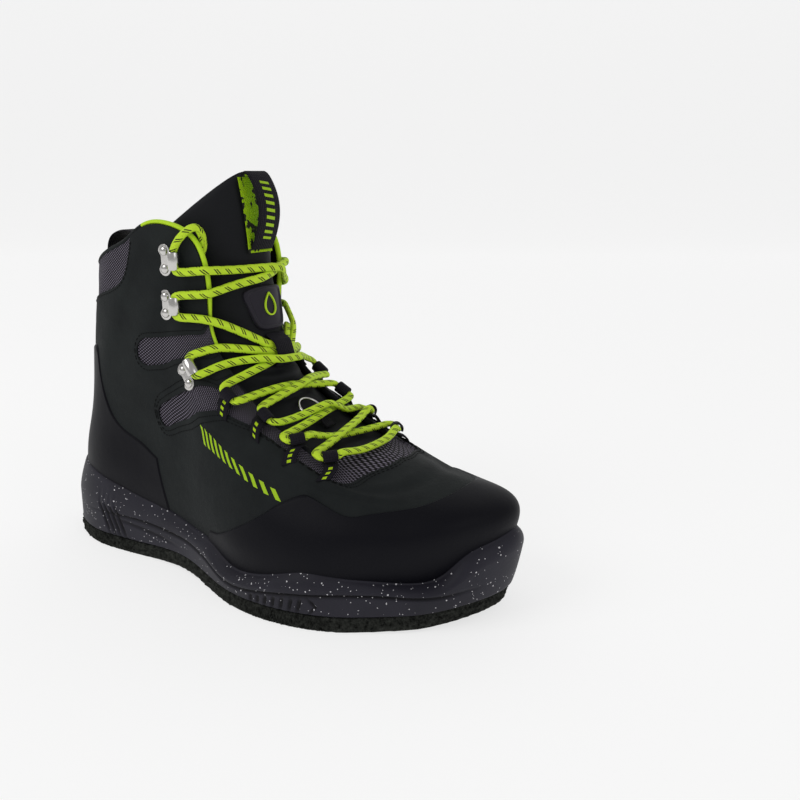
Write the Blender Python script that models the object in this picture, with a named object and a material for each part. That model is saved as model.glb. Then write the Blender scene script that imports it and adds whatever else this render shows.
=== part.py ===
"""Wading boot for a right foot: felt outsole, cup midsole, hollow laced upper, padded tongue and its hardware.

Metres, +Z up, toe towards +X, outer (lateral) side towards -Y, origin at the middle of the heel's ground face.
Every curved piece comes from one function, skin(), which gives the upper's outer face at a place round the
foot (station) and a height on it (level), so what lies on the upper follows when a size changes.
"""

import math

import bmesh
import bpy
import numpy as np
from mathutils import Vector
from mathutils.bvhtree import BVHTree

# Driving dimensions
SOLE_LENGTH = 0.320
BALL_WIDTH = 0.127
SHAFT_HEIGHT = 0.215
HEEL_REACH = 0.047
FELT_THICK = 0.009
FELT_SPREAD = 0.0006
FEATHER_INSET = 0.0075
LIP_THICK = 0.0035
SIDEWALL_HEIGHT = 0.043
TOE_BUMPER = 0.0105
BED_THICK = 0.020
RIB_DEPTH = 0.001
GROOVE_DEPTH = 0.0012
GROOVE_HALF_WIDTH = 0.0013
UPPER_WALL = 0.0024
RAND_THICK = 0.0016
BEAD_HEIGHT = 0.0017
BEAD_PROUD = 0.0007
INSOLE_THICK = 0.005
TONGUE_THICK = 0.006
TONGUE_EDGE = 0.002
WEBBING_THICK = 0.0012
LACE_RADIUS = 0.0021
LOOP_WIDTH = 0.0085
PULL_WIDTH = 0.019
HEEL_LOOP_WIDTH = 0.018
KEEPER_WIDTH = 0.015
BADGE_THICK = 0.0024
BADGE_FIELD = 0.0018
BADGE_EASE = 0.0004
RING_RADIUS = 0.0085
RING_WIRE = 0.0008
RIVET_RADIUS = 0.0029
RIVET_RISE = 0.0018
PLATE_THICK = 0.001
PLATE_LOBE = 0.0042
HOOK_THICK = 0.0012
CLEAR = 0.0003
LACE_GAP = 0.0006
HOLD_GAP = 0.0007
TONGUE_GAP = 0.0011
OVER_RING = 0.0062
TOE_SPRING = 0.005
PULL_THICK = 0.0015
RING_TAB_WIDTH = 0.009
RING_LIFT = 0.0020
LOOP_ARCH = 0.0022
RIB_HALF_WIDTH = 0.030
RIB_LEAN = 0.05
HEEL_RIB_LOW = 0.0135
HEEL_RIB_HIGH = 0.0225
HOOK_WIDTH = 0.0075
HOOK_REACH = 0.0095
LIP_GAP = 0.0014
WRAP_EASE = 0.0012
INSOLE_EASE = 0.0014
CUP_EASE = 0.0006

# Sizes that follow from those above
HOOK_CURL = LACE_RADIUS + 0.0005 + HOOK_THICK / 2
LOOP_CURL = LACE_RADIUS + 0.0005 + WEBBING_THICK / 2
PLATE_LIFT = CLEAR + 0.0004
WEBBING_LIFT = CLEAR + 0.0014 + WEBBING_THICK / 2
HOLD_REACH = 0.9
LOOP_REACH = 1.12

# How finely the curved pieces are divided
UPPER_ROUND = 78
UPPER_LEVELS = 9
SOLE_ROUND = 78
INSOLE_ROUND = 52

# Outline of the ground face, a row for each station from the heel to the toe:
# (along, lateral, medial) as shares of the sole length and of the ball width
OUTLINE = (
    (0.000, 0.000, 0.000),
    (0.019, 0.165, 0.165),
    (0.069, 0.291, 0.291),
    (0.150, 0.370, 0.339),
    (0.250, 0.374, 0.291),
    (0.359, 0.378, 0.260),
    (0.463, 0.441, 0.268),
    (0.563, 0.535, 0.331),
    (0.656, 0.571, 0.394),
    (0.750, 0.543, 0.433),
    (0.838, 0.449, 0.417),
    (0.919, 0.307, 0.339),
    (0.975, 0.134, 0.236),
    (1.000, -0.071, 0.071),
)

# Sections of the upper at four heights, with the same stations:
# (along, lateral, medial, up) as shares of the sole length, the ball width and the shaft height
RAND_LINE = (
    (0.044, 0.000, 0.000, 0.279),
    (0.056, 0.142, 0.142, 0.279),
    (0.094, 0.256, 0.256, 0.274),
    (0.163, 0.327, 0.315, 0.265),
    (0.256, 0.346, 0.283, 0.251),
    (0.356, 0.354, 0.260, 0.233),
    (0.456, 0.409, 0.268, 0.219),
    (0.553, 0.504, 0.323, 0.209),
    (0.644, 0.543, 0.386, 0.205),
    (0.738, 0.528, 0.425, 0.205),
    (0.828, 0.449, 0.417, 0.214),
    (0.916, 0.323, 0.346, 0.233),
    (0.981, 0.157, 0.228, 0.251),
    (1.016, -0.079, 0.079, 0.265),
)
ANKLE_LINE = (
    (0.067, 0.000, 0.000, 0.428),
    (0.077, 0.118, 0.118, 0.428),
    (0.106, 0.220, 0.220, 0.433),
    (0.163, 0.291, 0.283, 0.442),
    (0.237, 0.315, 0.283, 0.451),
    (0.319, 0.331, 0.276, 0.447),
    (0.388, 0.348, 0.281, 0.412),
    (0.456, 0.394, 0.309, 0.381),
    (0.537, 0.452, 0.354, 0.353),
    (0.634, 0.480, 0.394, 0.328),
    (0.762, 0.433, 0.386, 0.307),
    (0.866, 0.323, 0.323, 0.298),
    (0.944, 0.173, 0.205, 0.309),
    (0.969, -0.063, 0.063, 0.323),
)
INSTEP_LINE = (
    (0.095, 0.000, 0.000, 0.674),
    (0.105, 0.118, 0.118, 0.674),
    (0.131, 0.220, 0.220, 0.684),
    (0.184, 0.291, 0.291, 0.707),
    (0.244, 0.315, 0.307, 0.735),
    (0.306, 0.319, 0.307, 0.753),
    (0.359, 0.312, 0.301, 0.723),
    (0.394, 0.313, 0.298, 0.691),
    (0.438, 0.319, 0.302, 0.623),
    (0.512, 0.341, 0.321, 0.523),
    (0.628, 0.352, 0.323, 0.434),
    (0.750, 0.312, 0.296, 0.363),
    (0.822, 0.197, 0.189, 0.349),
    (0.850, -0.008, 0.008, 0.360),
)
OPENING_EDGE = (
    (0.113, 0.000, 0.000, 0.834),
    (0.120, 0.118, 0.118, 0.839),
    (0.150, 0.220, 0.220, 0.862),
    (0.203, 0.280, 0.280, 0.899),
    (0.266, 0.303, 0.299, 0.934),
    (0.328, 0.311, 0.307, 0.983),
    (0.394, 0.304, 0.296, 0.981),
    (0.442, 0.285, 0.279, 0.930),
    (0.456, 0.268, 0.263, 0.809),
    (0.466, 0.256, 0.249, 0.665),
    (0.553, 0.246, 0.239, 0.519),
    (0.644, 0.268, 0.260, 0.440),
    (0.719, 0.244, 0.236, 0.399),
    (0.734, 0.000, 0.000, 0.408),
)

# Wall of the midsole, a row for each place round the foot from the heel to the toe, the same on both sides:
# (station, lip height, groove height, groove depth, flare, height of the widest place); heights are shares
# of the sidewall height above the felt, the rest shares of the groove depth and of the toe bumper
SIDEWALL = (
    (0.00, 0.981, 0.349, 0.0, 0.00, 0.558),
    (2.60, 0.977, 0.349, 0.0, 0.00, 0.581),
    (3.15, 0.879, 0.360, 0.3, 0.02, 0.558),
    (3.75, 0.809, 0.370, 0.8, 0.04, 0.558),
    (4.30, 0.712, 0.365, 1.0, 0.06, 0.535),
    (5.15, 0.600, 0.328, 1.0, 0.10, 0.465),
    (5.70, 0.507, 0.326, 1.0, 0.12, 0.430),
    (6.45, 0.502, 0.256, 1.0, 0.16, 0.372),
    (6.85, 0.360, 0.158, 1.0, 0.19, 0.256),
    (7.15, 0.314, 0.128, 1.0, 0.20, 0.221),
    (7.50, 0.328, 0.133, 1.0, 0.22, 0.233),
    (8.00, 0.391, 0.186, 1.0, 0.24, 0.291),
    (8.50, 0.491, 0.242, 1.0, 0.24, 0.372),
    (8.90, 0.574, 0.272, 1.0, 0.24, 0.430),
    (9.70, 0.519, 0.323, 1.0, 0.24, 0.419),
    (10.30, 0.488, 0.335, 1.0, 0.33, 0.419),
    (10.85, 0.440, 0.295, 1.0, 0.43, 0.372),
    (11.30, 0.449, 0.286, 1.0, 0.52, 0.372),
    (11.60, 0.563, 0.309, 0.8, 0.62, 0.465),
    (11.85, 0.791, 0.337, 0.4, 0.74, 0.628),
    (12.15, 0.872, 0.349, 0.0, 0.85, 0.744),
    (12.60, 0.926, 0.349, 0.0, 0.93, 0.791),
    (13.00, 0.998, 0.349, 0.0, 1.00, 0.837),
)

# (share of the sole length, share of the full rise) of the ground face at the arch and the toe
GROUND = ((0.0, 0.3), (0.05, 0.0), (0.25, 0.0), (0.42, 0.4), (0.55, 0.0), (0.78, 0.0), (0.9, 0.3), (1.0, 1.0))

# (share of the sole length, share of the bed thickness) of the footbed above the felt
FOOTBED = ((0.0, 1.0), (0.25, 0.9), (0.55, 0.5), (0.8, 0.55), (1.0, 0.9))

# Top edges of the toe rand and of the heel counter: (station, level on the upper)
RAND_TOP = (
    (6.33, 0.70), (6.75, 0.80), (7.8, 1.25), (8.85, 1.68), (9.45, 2.0), (9.8, 2.18), (10.0, 2.24),
    (10.12, 1.98), (10.3, 1.9), (10.75, 2.05), (11.35, 2.22), (12.0, 2.3), (13.0, 2.33),
)
COUNTER_TOP = ((0.0, 2.73), (2.7, 2.73), (3.1, 2.25), (3.4, 1.95), (3.9, 1.73), (4.6, 1.6), (5.0, 1.48))

# Tongue, a row for each section from the toe end to the top: (centre along, centre up, side along, side up,
# half width, roundness); along by the sole length, up by the shaft height, half width by the ball width
TONGUE = (
    (0.787, 0.358, 0.762, 0.353, 0.236, 2.5),
    (0.719, 0.393, 0.688, 0.398, 0.252, 2.8),
    (0.656, 0.428, 0.619, 0.430, 0.260, 3.0),
    (0.603, 0.470, 0.548, 0.493, 0.252, 3.0),
    (0.561, 0.540, 0.488, 0.567, 0.250, 2.8),
    (0.528, 0.637, 0.442, 0.647, 0.250, 2.5),
    (0.509, 0.767, 0.408, 0.735, 0.256, 2.5),
    (0.497, 0.884, 0.392, 0.828, 0.262, 2.4),
    (0.487, 1.014, 0.381, 0.912, 0.268, 2.2),
    (0.472, 1.130, 0.369, 0.986, 0.260, 2.0),
)

# Where the lace is held on the lateral side, from the top: (station, level) of the upper and of the lower
# rivet or of the foot and the eye of a webbing loop
HOOK_RIVETS = (
    ((5.88, 3.72), (6.03, 3.54)),
    ((6.17, 3.26), (6.28, 3.11)),
    ((7.34, 2.74), (7.61, 2.68)),
)
LOOP_ENDS = (
    ((8.83, 2.74), (9.28, 3.22)),
    ((9.56, 2.80), (10.07, 3.52)),
    ((10.02, 2.67), (10.97, 3.81)),
    ((10.51, 2.65), (11.72, 3.78)),
)

# Places on the tongue, as shares of the way from its toe end to its top
BADGE_LOW = 0.605
BADGE_HIGH = 0.715
BADGE_WIDTH = 0.52
BADGE_TAPER = 0.17
BADGE_CORNER = 0.22
RING_PLACE = 0.335
PULL_PATH = (
    (0.985, 0.0013), (0.99, 0.0040), (0.965, 0.0064), (0.92, 0.0080), (0.875, 0.0072), (0.835, 0.0042), (0.808, 0.0013),
)
KEEPER_PATH = (
    (0.597, 0.0014), (0.590, 0.0022), (0.575, 0.0060), (0.552, 0.0066), (0.529, 0.0060), (0.514, 0.0022), (0.507, 0.0014),
)

# Way of the heel loop above the collar's back edge: (forward, up) in metres
HEEL_LOOP_PATH = ((-0.0006, 0.0115), (0.0085, 0.0172), (0.0195, 0.0177), (0.0242, 0.0145), (0.0205, 0.0065), (0.0105, -0.001))

# Way of the lace's ends over the collar into the boot: (station, level, distance off the upper)
LACE_END_PATH = (
    (6.5, 3.97, 0.0044), (6.75, 4.15, 0.0000), (7.0, 4.07, -0.0055), (7.1, 3.93, -0.0056), (7.12, 3.82, -0.0056),
)

# Where the two strands between one hold and the next cross: (across the tongue, share of the way down)
CROSSINGS = ((0.38, 0.25), (0.6, 0.5), (0.38, 0.8), (0.3, 0.45), (0.2, 0.5), (0.1, 0.5))
KEEPER_PAIR = 1

# Stations of the rib grooves in the midsole's wall, and of the lace's bar over the toe end of the throat
FOREFOOT_RIBS = (7.83, 8.0, 8.175, 8.35, 8.53, 8.71, 8.88)
HEEL_RIBS = (3.3, 3.45, 3.6, 3.75)
TOE_BAR = (12.35, 13.0, 13.65)
TOE_BAR_LEVEL = 3.8
BEAD_END = 9.0
SIDE_REACH = 1.2
CORD_GAP = 0.0013
EDGE_EASE = 0.0008
EARLY = 0.6
KEEPER_SHIFT = 0.0135
SETTLE_STEP = 0.0045
SETTLE_TURNS = 50
SETTLE_PULL = 0.35
SETTLE_THIN = 0.0004

STATIONS = len(OUTLINE)
RIBS = 2 * (STATIONS - 1)
TOE = STATIONS - 1
LEVELS = 4


def smooth_values(values, at, closed=False):
    """Values of a cubic curve through equally spaced rows, at the given row numbers."""
    values = np.asarray(values, float)
    at = np.atleast_1d(np.asarray(at, float))
    count = len(values)
    second = np.zeros((count, count))
    bend = np.zeros((count, count))
    for row in range(count):
        if not closed and row in (0, count - 1):
            bend[row, row] = 1
            continue
        before, after = (row - 1) % count, (row + 1) % count
        bend[row, [before, row, after]] += (1 / 6, 4 / 6, 1 / 6)
        second[row, [before, row, after]] += (1, -2, 1)
    curve = np.linalg.solve(bend, second @ values.reshape(count, -1)).reshape(values.shape)
    if closed:
        low = np.floor(at).astype(int)
    else:
        low = np.clip(np.floor(at).astype(int), 0, count - 2)
    share = (at - low).reshape((-1,) + (1,) * (values.ndim - 1))
    here, there = low % count, (low + 1) % count
    rest = 1 - share
    flat = rest * values[here] + share * values[there]
    return flat + ((rest**3 - rest) * curve[here] + (share**3 - share) * curve[there]) / 6


def fold(station):
    """Station on the lateral side that a station lies at or mirrors."""
    return TOE - np.abs(TOE - np.mod(station, RIBS))


def table_at(table, column, station):
    """Value of a column at stations, from rows that start with their station."""
    rows = np.array(table)
    return np.interp(np.atleast_1d(fold(np.asarray(station, float))), rows[:, 0], rows[:, column])


def along_table(table, along):
    """Value at a place along the foot from a table of (share along, value) rows, joined smoothly."""
    rows = np.array(table)
    dense = np.linspace(0, len(rows) - 1, 200)
    places = smooth_values(rows[:, 0], dense)
    return np.interp(along, places, smooth_values(rows[:, 1], dense))


def x_of(along):
    return np.asarray(along) * SOLE_LENGTH - HEEL_REACH


def along_of(x):
    return (np.asarray(x) + HEEL_REACH) / SOLE_LENGTH


def round_the_foot(table):
    """The rows of a section table as a closed ring: heel, lateral side, toe, medial side."""
    rows = np.array(table)
    lateral = np.column_stack([x_of(rows[:, 0]), -rows[:, 1] * BALL_WIDTH])
    medial = np.column_stack([x_of(rows[:, 0]), rows[:, 2] * BALL_WIDTH])[-2:0:-1]
    ring = np.vstack([lateral, medial])
    if rows.shape[1] == 3:
        return ring
    up = rows[:, 3] * SHAFT_HEIGHT
    return np.column_stack([ring, np.concatenate([up, up[-2:0:-1]])])


OUTLINE_RING = round_the_foot(OUTLINE)


def outline(station, out=0.0):
    """Points of the ground outline at stations round the foot, moved outwards in plan."""
    station = np.atleast_1d(np.asarray(station, float))
    step = 0.02
    points = smooth_values(OUTLINE_RING, station, closed=True)
    run = smooth_values(OUTLINE_RING, station + step, closed=True)
    run = run - smooth_values(OUTLINE_RING, station - step, closed=True)
    normal = np.column_stack([run[:, 1], -run[:, 0]]) / np.linalg.norm(run, axis=1)[:, None]
    return points + normal * np.reshape(out, (-1, 1))


def ground(along):
    """Height of the ground face: flat under the heel and the ball, raised at the arch and the toe."""
    rows = np.array(GROUND)
    row = np.interp(along, rows[:, 0], np.arange(len(rows)))
    low = np.minimum(np.floor(row).astype(int), len(rows) - 2)
    share = row - low
    ease = share * share * (3 - 2 * share)
    return TOE_SPRING * (rows[low, 1] + (rows[low + 1, 1] - rows[low, 1]) * ease)


def bed_height(x):
    return FELT_THICK + BED_THICK * along_table(FOOTBED, along_of(x))


def feather_ring():
    ring = outline(np.arange(RIBS), -FEATHER_INSET)
    return np.column_stack([ring, bed_height(ring[:, 0])])


SKIN_ROWS = np.stack(
    [feather_ring()] + [round_the_foot(t) for t in (RAND_LINE, ANKLE_LINE, INSTEP_LINE, OPENING_EDGE)],
    axis=1,
)


def skin_points(station, level):
    """Points of the upper's outer face, for stations and levels of equal number."""
    rows = smooth_values(SKIN_ROWS, station, closed=True)
    weights = smooth_values(np.eye(LEVELS + 1), level)
    return np.einsum("nk,nkd->nd", weights, rows)


def skin(station, level, out=0.0):
    """Points of the upper's outer face, moved outwards along its normal."""
    station, level = np.broadcast_arrays(np.atleast_1d(station), np.atleast_1d(level))
    station, level = station.astype(float), level.astype(float)
    step = 0.01
    round_way = skin_points(station + step, level) - skin_points(station - step, level)
    up_way = skin_points(station, level + step) - skin_points(station, level - step)
    normal = np.cross(round_way, up_way)
    normal /= np.linalg.norm(normal, axis=1)[:, None]
    return skin_points(station, level) + normal * np.reshape(out, (-1, 1))


def level_at(station, up):
    """Level at which the upper's face reaches a height, for each station."""
    levels = np.linspace(0, 2.4, 61)
    found = []
    for at, height in zip(station, np.broadcast_to(up, np.shape(station))):
        heights = skin_points(np.full(levels.shape, at), levels)[:, 2]
        found.append(np.interp(height, heights, levels))
    return np.array(found)


def material(name, colour, roughness, metallic=0.0):
    made = bpy.data.materials.new(name)
    made.use_nodes = True
    shader = made.node_tree.nodes["Principled BSDF"]
    shader.inputs["Base Color"].default_value = (*colour, 1)
    shader.inputs["Roughness"].default_value = roughness
    shader.inputs["Metallic"].default_value = metallic
    made.diffuse_color = (*colour, 1)
    return made


def add_solid(name, points, faces, finish, group=None):
    """A closed solid from points and faces, with its faces turned outwards."""
    mesh = bpy.data.meshes.new(name)
    mesh.from_pydata([tuple(p) for p in points], [], faces)
    shape = bmesh.new()
    shape.from_mesh(mesh)
    bmesh.ops.recalc_face_normals(shape, faces=shape.faces)
    shape.to_mesh(mesh)
    shape.free()
    mesh.shade_smooth()
    mesh.set_sharp_from_angle(angle=math.radians(35))
    mesh.materials.append(finish)
    made = bpy.data.objects.new(name, mesh)
    if group is None:
        parts.objects.link(made)
        return made
    group.objects.link(made)
    made.hide_render = True
    made.display_type = "WIRE"
    return made


def loft(name, sections, finish, closed=False):
    """A solid through sections, each a closed ring of as many points; closed joins the last to the first."""
    sections = np.asarray(sections)
    count, size = sections.shape[:2]
    faces = []
    for i in range(count if closed else count - 1):
        a, b = i * size, (i + 1) % count * size
        faces += [(a + j, a + (j + 1) % size, b + (j + 1) % size, b + j) for j in range(size)]
    if not closed:
        faces += [tuple(range(size)), tuple((count - 1) * size + j for j in range(size))]
    return add_solid(name, sections.reshape(-1, 3), faces, finish)


def stacked(name, rings, finish):
    """A solid of rings round the foot, each with as many points, closed below and above by cross strips."""
    rings = np.asarray(rings)
    count, size = rings.shape[:2]
    faces = []
    for i in range(count - 1):
        a, b = i * size, (i + 1) * size
        faces += [(a + j, a + (j + 1) % size, b + (j + 1) % size, b + j) for j in range(size)]
    for start in (0, (count - 1) * size):
        faces += [(start, start + 1, start + size - 1)]
        faces += [
            (start + j, start + j + 1, start + size - j - 1, start + size - j)
            for j in range(1, size // 2 - 1)
        ]
        faces += [(start + size // 2 - 1, start + size // 2, start + size // 2 + 1)]
    return add_solid(name, rings.reshape(-1, 3), faces, finish)


def clear_scene():
    for old in list(bpy.data.objects):
        bpy.data.objects.remove(old, do_unlink=True)


clear_scene()
parts = bpy.data.collections.new("wading_boot")
cutters = bpy.data.collections.new("cutters")
cutters.hide_render = True
for group in (parts, cutters):
    bpy.context.scene.collection.children.link(group)

FELT = material("felt", (0.012, 0.014, 0.013), 0.95)
MIDSOLE = material("midsole_rubber", (0.035, 0.033, 0.045), 0.6)
NUBUCK = material("nubuck", (0.02, 0.024, 0.024), 0.8)
RUBBER = material("rand_rubber", (0.01, 0.01, 0.015), 0.7)
LIME = material("lime_trim", (0.45, 0.65, 0.02), 0.7)
LINING = material("dark_lining", (0.015, 0.017, 0.018), 0.9)
WEBBING = material("black_webbing", (0.015, 0.014, 0.02), 0.8)
STEEL = material("steel", (0.6, 0.58, 0.56), 0.25, 1.0)


SOLE_STATIONS = np.arange(SOLE_ROUND) * RIBS / SOLE_ROUND
UPPER_STATIONS = np.arange(UPPER_ROUND) * RIBS / UPPER_ROUND


def both_sides(name):
    """The two names of a piece that is on the lateral and on the medial side, with the mirror sign of each."""
    return ((name + "_lateral", 1), (name + "_medial", -1))


def felt_ring(out, up):
    ring = outline(SOLE_STATIONS, out)
    return np.column_stack([ring, ground(along_of(ring[:, 0])) + up])


def build_felt():
    return stacked("felt_outsole", [felt_ring(0, 0), felt_ring(FELT_SPREAD, FELT_THICK)], FELT)


def sidewall(station, up, out=0.0):
    """Points of the midsole's outer wall at heights, moved outwards."""
    flare = table_at(SIDEWALL, 4, station) * TOE_BUMPER
    widest = FELT_THICK + table_at(SIDEWALL, 5, station) * SIDEWALL_HEIGHT
    climb = np.clip((up - FELT_THICK) / (widest - FELT_THICK), 0, 1)
    return np.column_stack([outline(station, flare * climb + out), np.broadcast_to(up, np.shape(station))])


def sidewall_height(column, station):
    return FELT_THICK + table_at(SIDEWALL, column, station) * SIDEWALL_HEIGHT


def build_midsole():
    """Base, groove, widest place, lip, and back down inside to the footbed."""
    at = SOLE_STATIONS
    groove = sidewall_height(2, at)
    depth = table_at(SIDEWALL, 3, at) * GROOVE_DEPTH
    lip = level_at(at, sidewall_height(1, at))
    lip_ring = skin(at, lip, CLEAR + LIP_THICK)
    widest_ring = sidewall(at, sidewall_height(5, at))
    rings = [
        felt_ring(0, FELT_THICK + CLEAR),
        sidewall(at, groove - GROOVE_HALF_WIDTH),
        sidewall(at, groove, -depth),
        sidewall(at, groove + GROOVE_HALF_WIDTH),
        widest_ring,
        0.45 * widest_ring + 0.55 * lip_ring + [0, 0, 0.0008],
        lip_ring,
        skin(at, lip, CLEAR + CUP_EASE),
        skin(at, lip * 0.5, CLEAR + CUP_EASE),
        skin(at, 0, CLEAR) - [0, 0, 3 * CLEAR],
    ]
    made = stacked("midsole", rings, MIDSOLE)
    cut = made.modifiers.new("ribs", "BOOLEAN")
    cut.solver = "EXACT"
    cut.operation = "DIFFERENCE"
    cut.object = build_rib_cutter()
    return made


def build_rib_cutter():
    """Slanted wedges that notch the lower wall at the forefoot and at the heel, on both sides."""
    corners, faces = [], []
    ribs = [(s, FELT_THICK + 0.0012, sidewall_height(2, s)[0] - 0.0028) for s in FOREFOOT_RIBS]
    ribs += [(s, HEEL_RIB_LOW, HEEL_RIB_HIGH) for s in HEEL_RIBS]
    for station, low, high in ribs:
        for side in (1, -1):
            start = len(corners)
            for up, lean in ((low, -RIB_LEAN), (high, RIB_LEAN)):
                for out, half in ((-RIB_DEPTH, 0.2 * RIB_HALF_WIDTH), (0.002, 1.6 * RIB_HALF_WIDTH)):
                    for way in (-half, half):
                        place = side * (station + lean + way)
                        corners.append(sidewall(np.array([place]), up, out)[0])
            a = start
            faces += [(a, a + 1, a + 3, a + 2), (a + 4, a + 6, a + 7, a + 5), (a, a + 4, a + 5, a + 1)]
            faces += [(a + 1, a + 5, a + 7, a + 3), (a + 3, a + 7, a + 6, a + 2), (a + 2, a + 6, a + 4, a)]
    cutter = add_solid("rib_cutter", corners, faces, MIDSOLE, cutters)
    return cutter


def build_insole():
    at = np.arange(INSOLE_ROUND) * RIBS / INSOLE_ROUND
    inset = -(UPPER_WALL + INSOLE_EASE)
    low = skin(at, 0, inset)
    bed = bed_height(low[:, 0])
    low[:, 2] = bed
    high = skin(at, level_at(at, bed + INSOLE_THICK), inset)
    high[:, 2] = bed + INSOLE_THICK
    return stacked("insole", [low, high], LINING)


def edge_frame(station):
    """Points of the opening edge, the way in the face up to it and square to it, and the outward normal."""
    here = skin_points(station, station * 0 + LEVELS)
    along = skin_points(station + 0.05, station * 0 + LEVELS) - skin_points(station - 0.05, station * 0 + LEVELS)
    along /= np.linalg.norm(along, axis=1)[:, None]
    run = (here - skin_points(station, station * 0 + LEVELS - 0.1)) / 0.1
    up = run - along * np.sum(run * along, axis=1)[:, None]
    up /= np.linalg.norm(up, axis=1)[:, None]
    return here, up, np.cross(along, up)


def build_upper():
    sections = []
    for station in UPPER_STATIONS:
        levels = np.linspace(0, LEVELS, UPPER_LEVELS)
        sections.append(np.vstack([skin(station, levels), skin(station, levels[::-1], -UPPER_WALL)]))
    return loft("upper", sections, NUBUCK, closed=True)


def wrap(name, stations, low, high, rows, finish):
    """A rubber piece lying on the upper between two levels given for each station."""
    sections = []
    inner = CLEAR + WRAP_EASE
    for station, a, b in zip(stations, low, high):
        levels = np.linspace(a, b, rows)
        outer = skin(station, levels, inner + RAND_THICK)
        sections.append(np.vstack([skin(station, levels[::-1], inner), outer]))
    return loft(name, sections, finish)


def build_wraps():
    reach = RAND_TOP[0][0]
    at = np.linspace(reach, RIBS - reach, 37)
    lip = level_at(at, sidewall_height(1, at) + LIP_GAP)
    wrap("toe_rand", at, lip, np.maximum(table_at(RAND_TOP, 1, at), lip + 0.1), 5, RUBBER)
    reach = COUNTER_TOP[-1][0]
    at = np.linspace(-reach, reach, 25)
    lip = level_at(at, sidewall_height(1, at) + LIP_GAP)
    wrap("heel_counter", at, lip, table_at(COUNTER_TOP, 1, at), 5, RUBBER)


def build_binding():
    sections = []
    reach = int(BEAD_END * UPPER_ROUND / RIBS)
    for here, up, out in zip(*edge_frame(np.arange(-reach, reach + 1) * RIBS / UPPER_ROUND)):
        inner = -UPPER_WALL - BEAD_PROUD
        rim = [(0, BEAD_PROUD), (0.6 * BEAD_HEIGHT, BEAD_PROUD), (BEAD_HEIGHT, -0.3 * UPPER_WALL)]
        rim += [(BEAD_HEIGHT, -0.7 * UPPER_WALL), (0.6 * BEAD_HEIGHT, inner), (0, inner)]
        sections.append([here + up * (CLEAR + EDGE_EASE + rise) + out * proud for rise, proud in rim])
    return loft("collar_binding", sections, LIME)


def tongue_points(share, across):
    """Points of the tongue's front face: share of the way up, and from -1 lateral to 1 medial."""
    rows = smooth_values(np.array(TONGUE), share * (len(TONGUE) - 1))
    bend = np.abs(across) ** rows[:, 5]
    x = rows[:, 0] + (rows[:, 2] - rows[:, 0]) * bend
    z = rows[:, 1] + (rows[:, 3] - rows[:, 1]) * bend
    return np.column_stack([x_of(x), across * rows[:, 4] * BALL_WIDTH, z * SHAFT_HEIGHT])


def tongue_face(share, across, out=0.0):
    """Points of the tongue's front face, moved outwards along its normal."""
    share, across = np.broadcast_arrays(np.atleast_1d(share), np.atleast_1d(across))
    share, across = share.astype(float), across.astype(float)
    step = 0.005
    up_way = tongue_points(share + step, across) - tongue_points(share - step, across)
    cross_way = tongue_points(share, across + step) - tongue_points(share, across - step)
    normal = np.cross(cross_way, up_way)
    normal /= np.linalg.norm(normal, axis=1)[:, None]
    return tongue_points(share, across) + normal * np.reshape(out, (-1, 1))


def build_tongue():
    across = np.linspace(-1, 1, 13)
    inward = TONGUE_EDGE + (TONGUE_THICK - TONGUE_EDGE) * (1 - across**4)
    sections = []
    for share in np.linspace(0, 1, 14):
        front = tongue_face(share, across)
        back = tongue_face(share, across[::-1], -inward[::-1])
        sections.append(np.vstack([front, back]))
    return loft("tongue", sections, NUBUCK)


def build_badge():
    """A rounded shield on the tongue, wider at its top, with a raised rim."""
    across = np.array((-1, -0.88, -0.8, -0.35, 0.35, 0.8, 0.88, 1))
    sections = []
    for up in (-1, -0.88, -0.8, 0, 0.8, 0.88, 1):
        corner = max(0.0, (abs(up) - 0.8) / 0.2)
        width = BADGE_WIDTH * (1 - BADGE_TAPER * (1 - up)) * (1 - BADGE_CORNER * corner**2)
        share = (BADGE_LOW + BADGE_HIGH) / 2 + up * (BADGE_HIGH - BADGE_LOW) / 2
        rim = np.maximum(np.abs(across), abs(up)) >= 0.87
        top = np.where(rim, BADGE_THICK, BADGE_FIELD)
        low = tongue_face(share, across[::-1] * width, CLEAR + BADGE_EASE)
        sections.append(np.vstack([low, tongue_face(share, across * width, top)]))
    return loft("tongue_badge", sections, RUBBER)


def strap(name, centres, width_way, width, thick, finish):
    """A flat strap swept along centres; width_way is its width direction, one or one per centre."""
    centres = np.asarray(centres, float)
    width_way = np.broadcast_to(np.asarray(width_way, float), centres.shape)
    run = np.gradient(centres, axis=0)
    run /= np.linalg.norm(run, axis=1)[:, None]
    lift = np.cross(run, width_way)
    lift /= np.linalg.norm(lift, axis=1)[:, None]
    w, t = width_way * width / 2, lift * thick / 2
    sections = np.stack([centres - w - t, centres + w - t, centres + w + t, centres - w + t], axis=1)
    return loft(name, sections, finish)


def build_tongue_straps():
    across = (0.0, 1.0, 0.0)
    rows = np.array(PULL_PATH)
    dense = smooth_values(rows, np.linspace(0, len(rows) - 1, 15))
    strap("tongue_pull_loop", tongue_face(dense[:, 0], 0, dense[:, 1]), across, PULL_WIDTH, PULL_THICK, WEBBING)
    rows = np.array(KEEPER_PATH)
    dense = smooth_values(rows, np.linspace(0, len(rows) - 1, 11))
    strap("lace_keeper", tongue_face(dense[:, 0], 0, dense[:, 1]), across, KEEPER_WIDTH, WEBBING_THICK, WEBBING)


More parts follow.
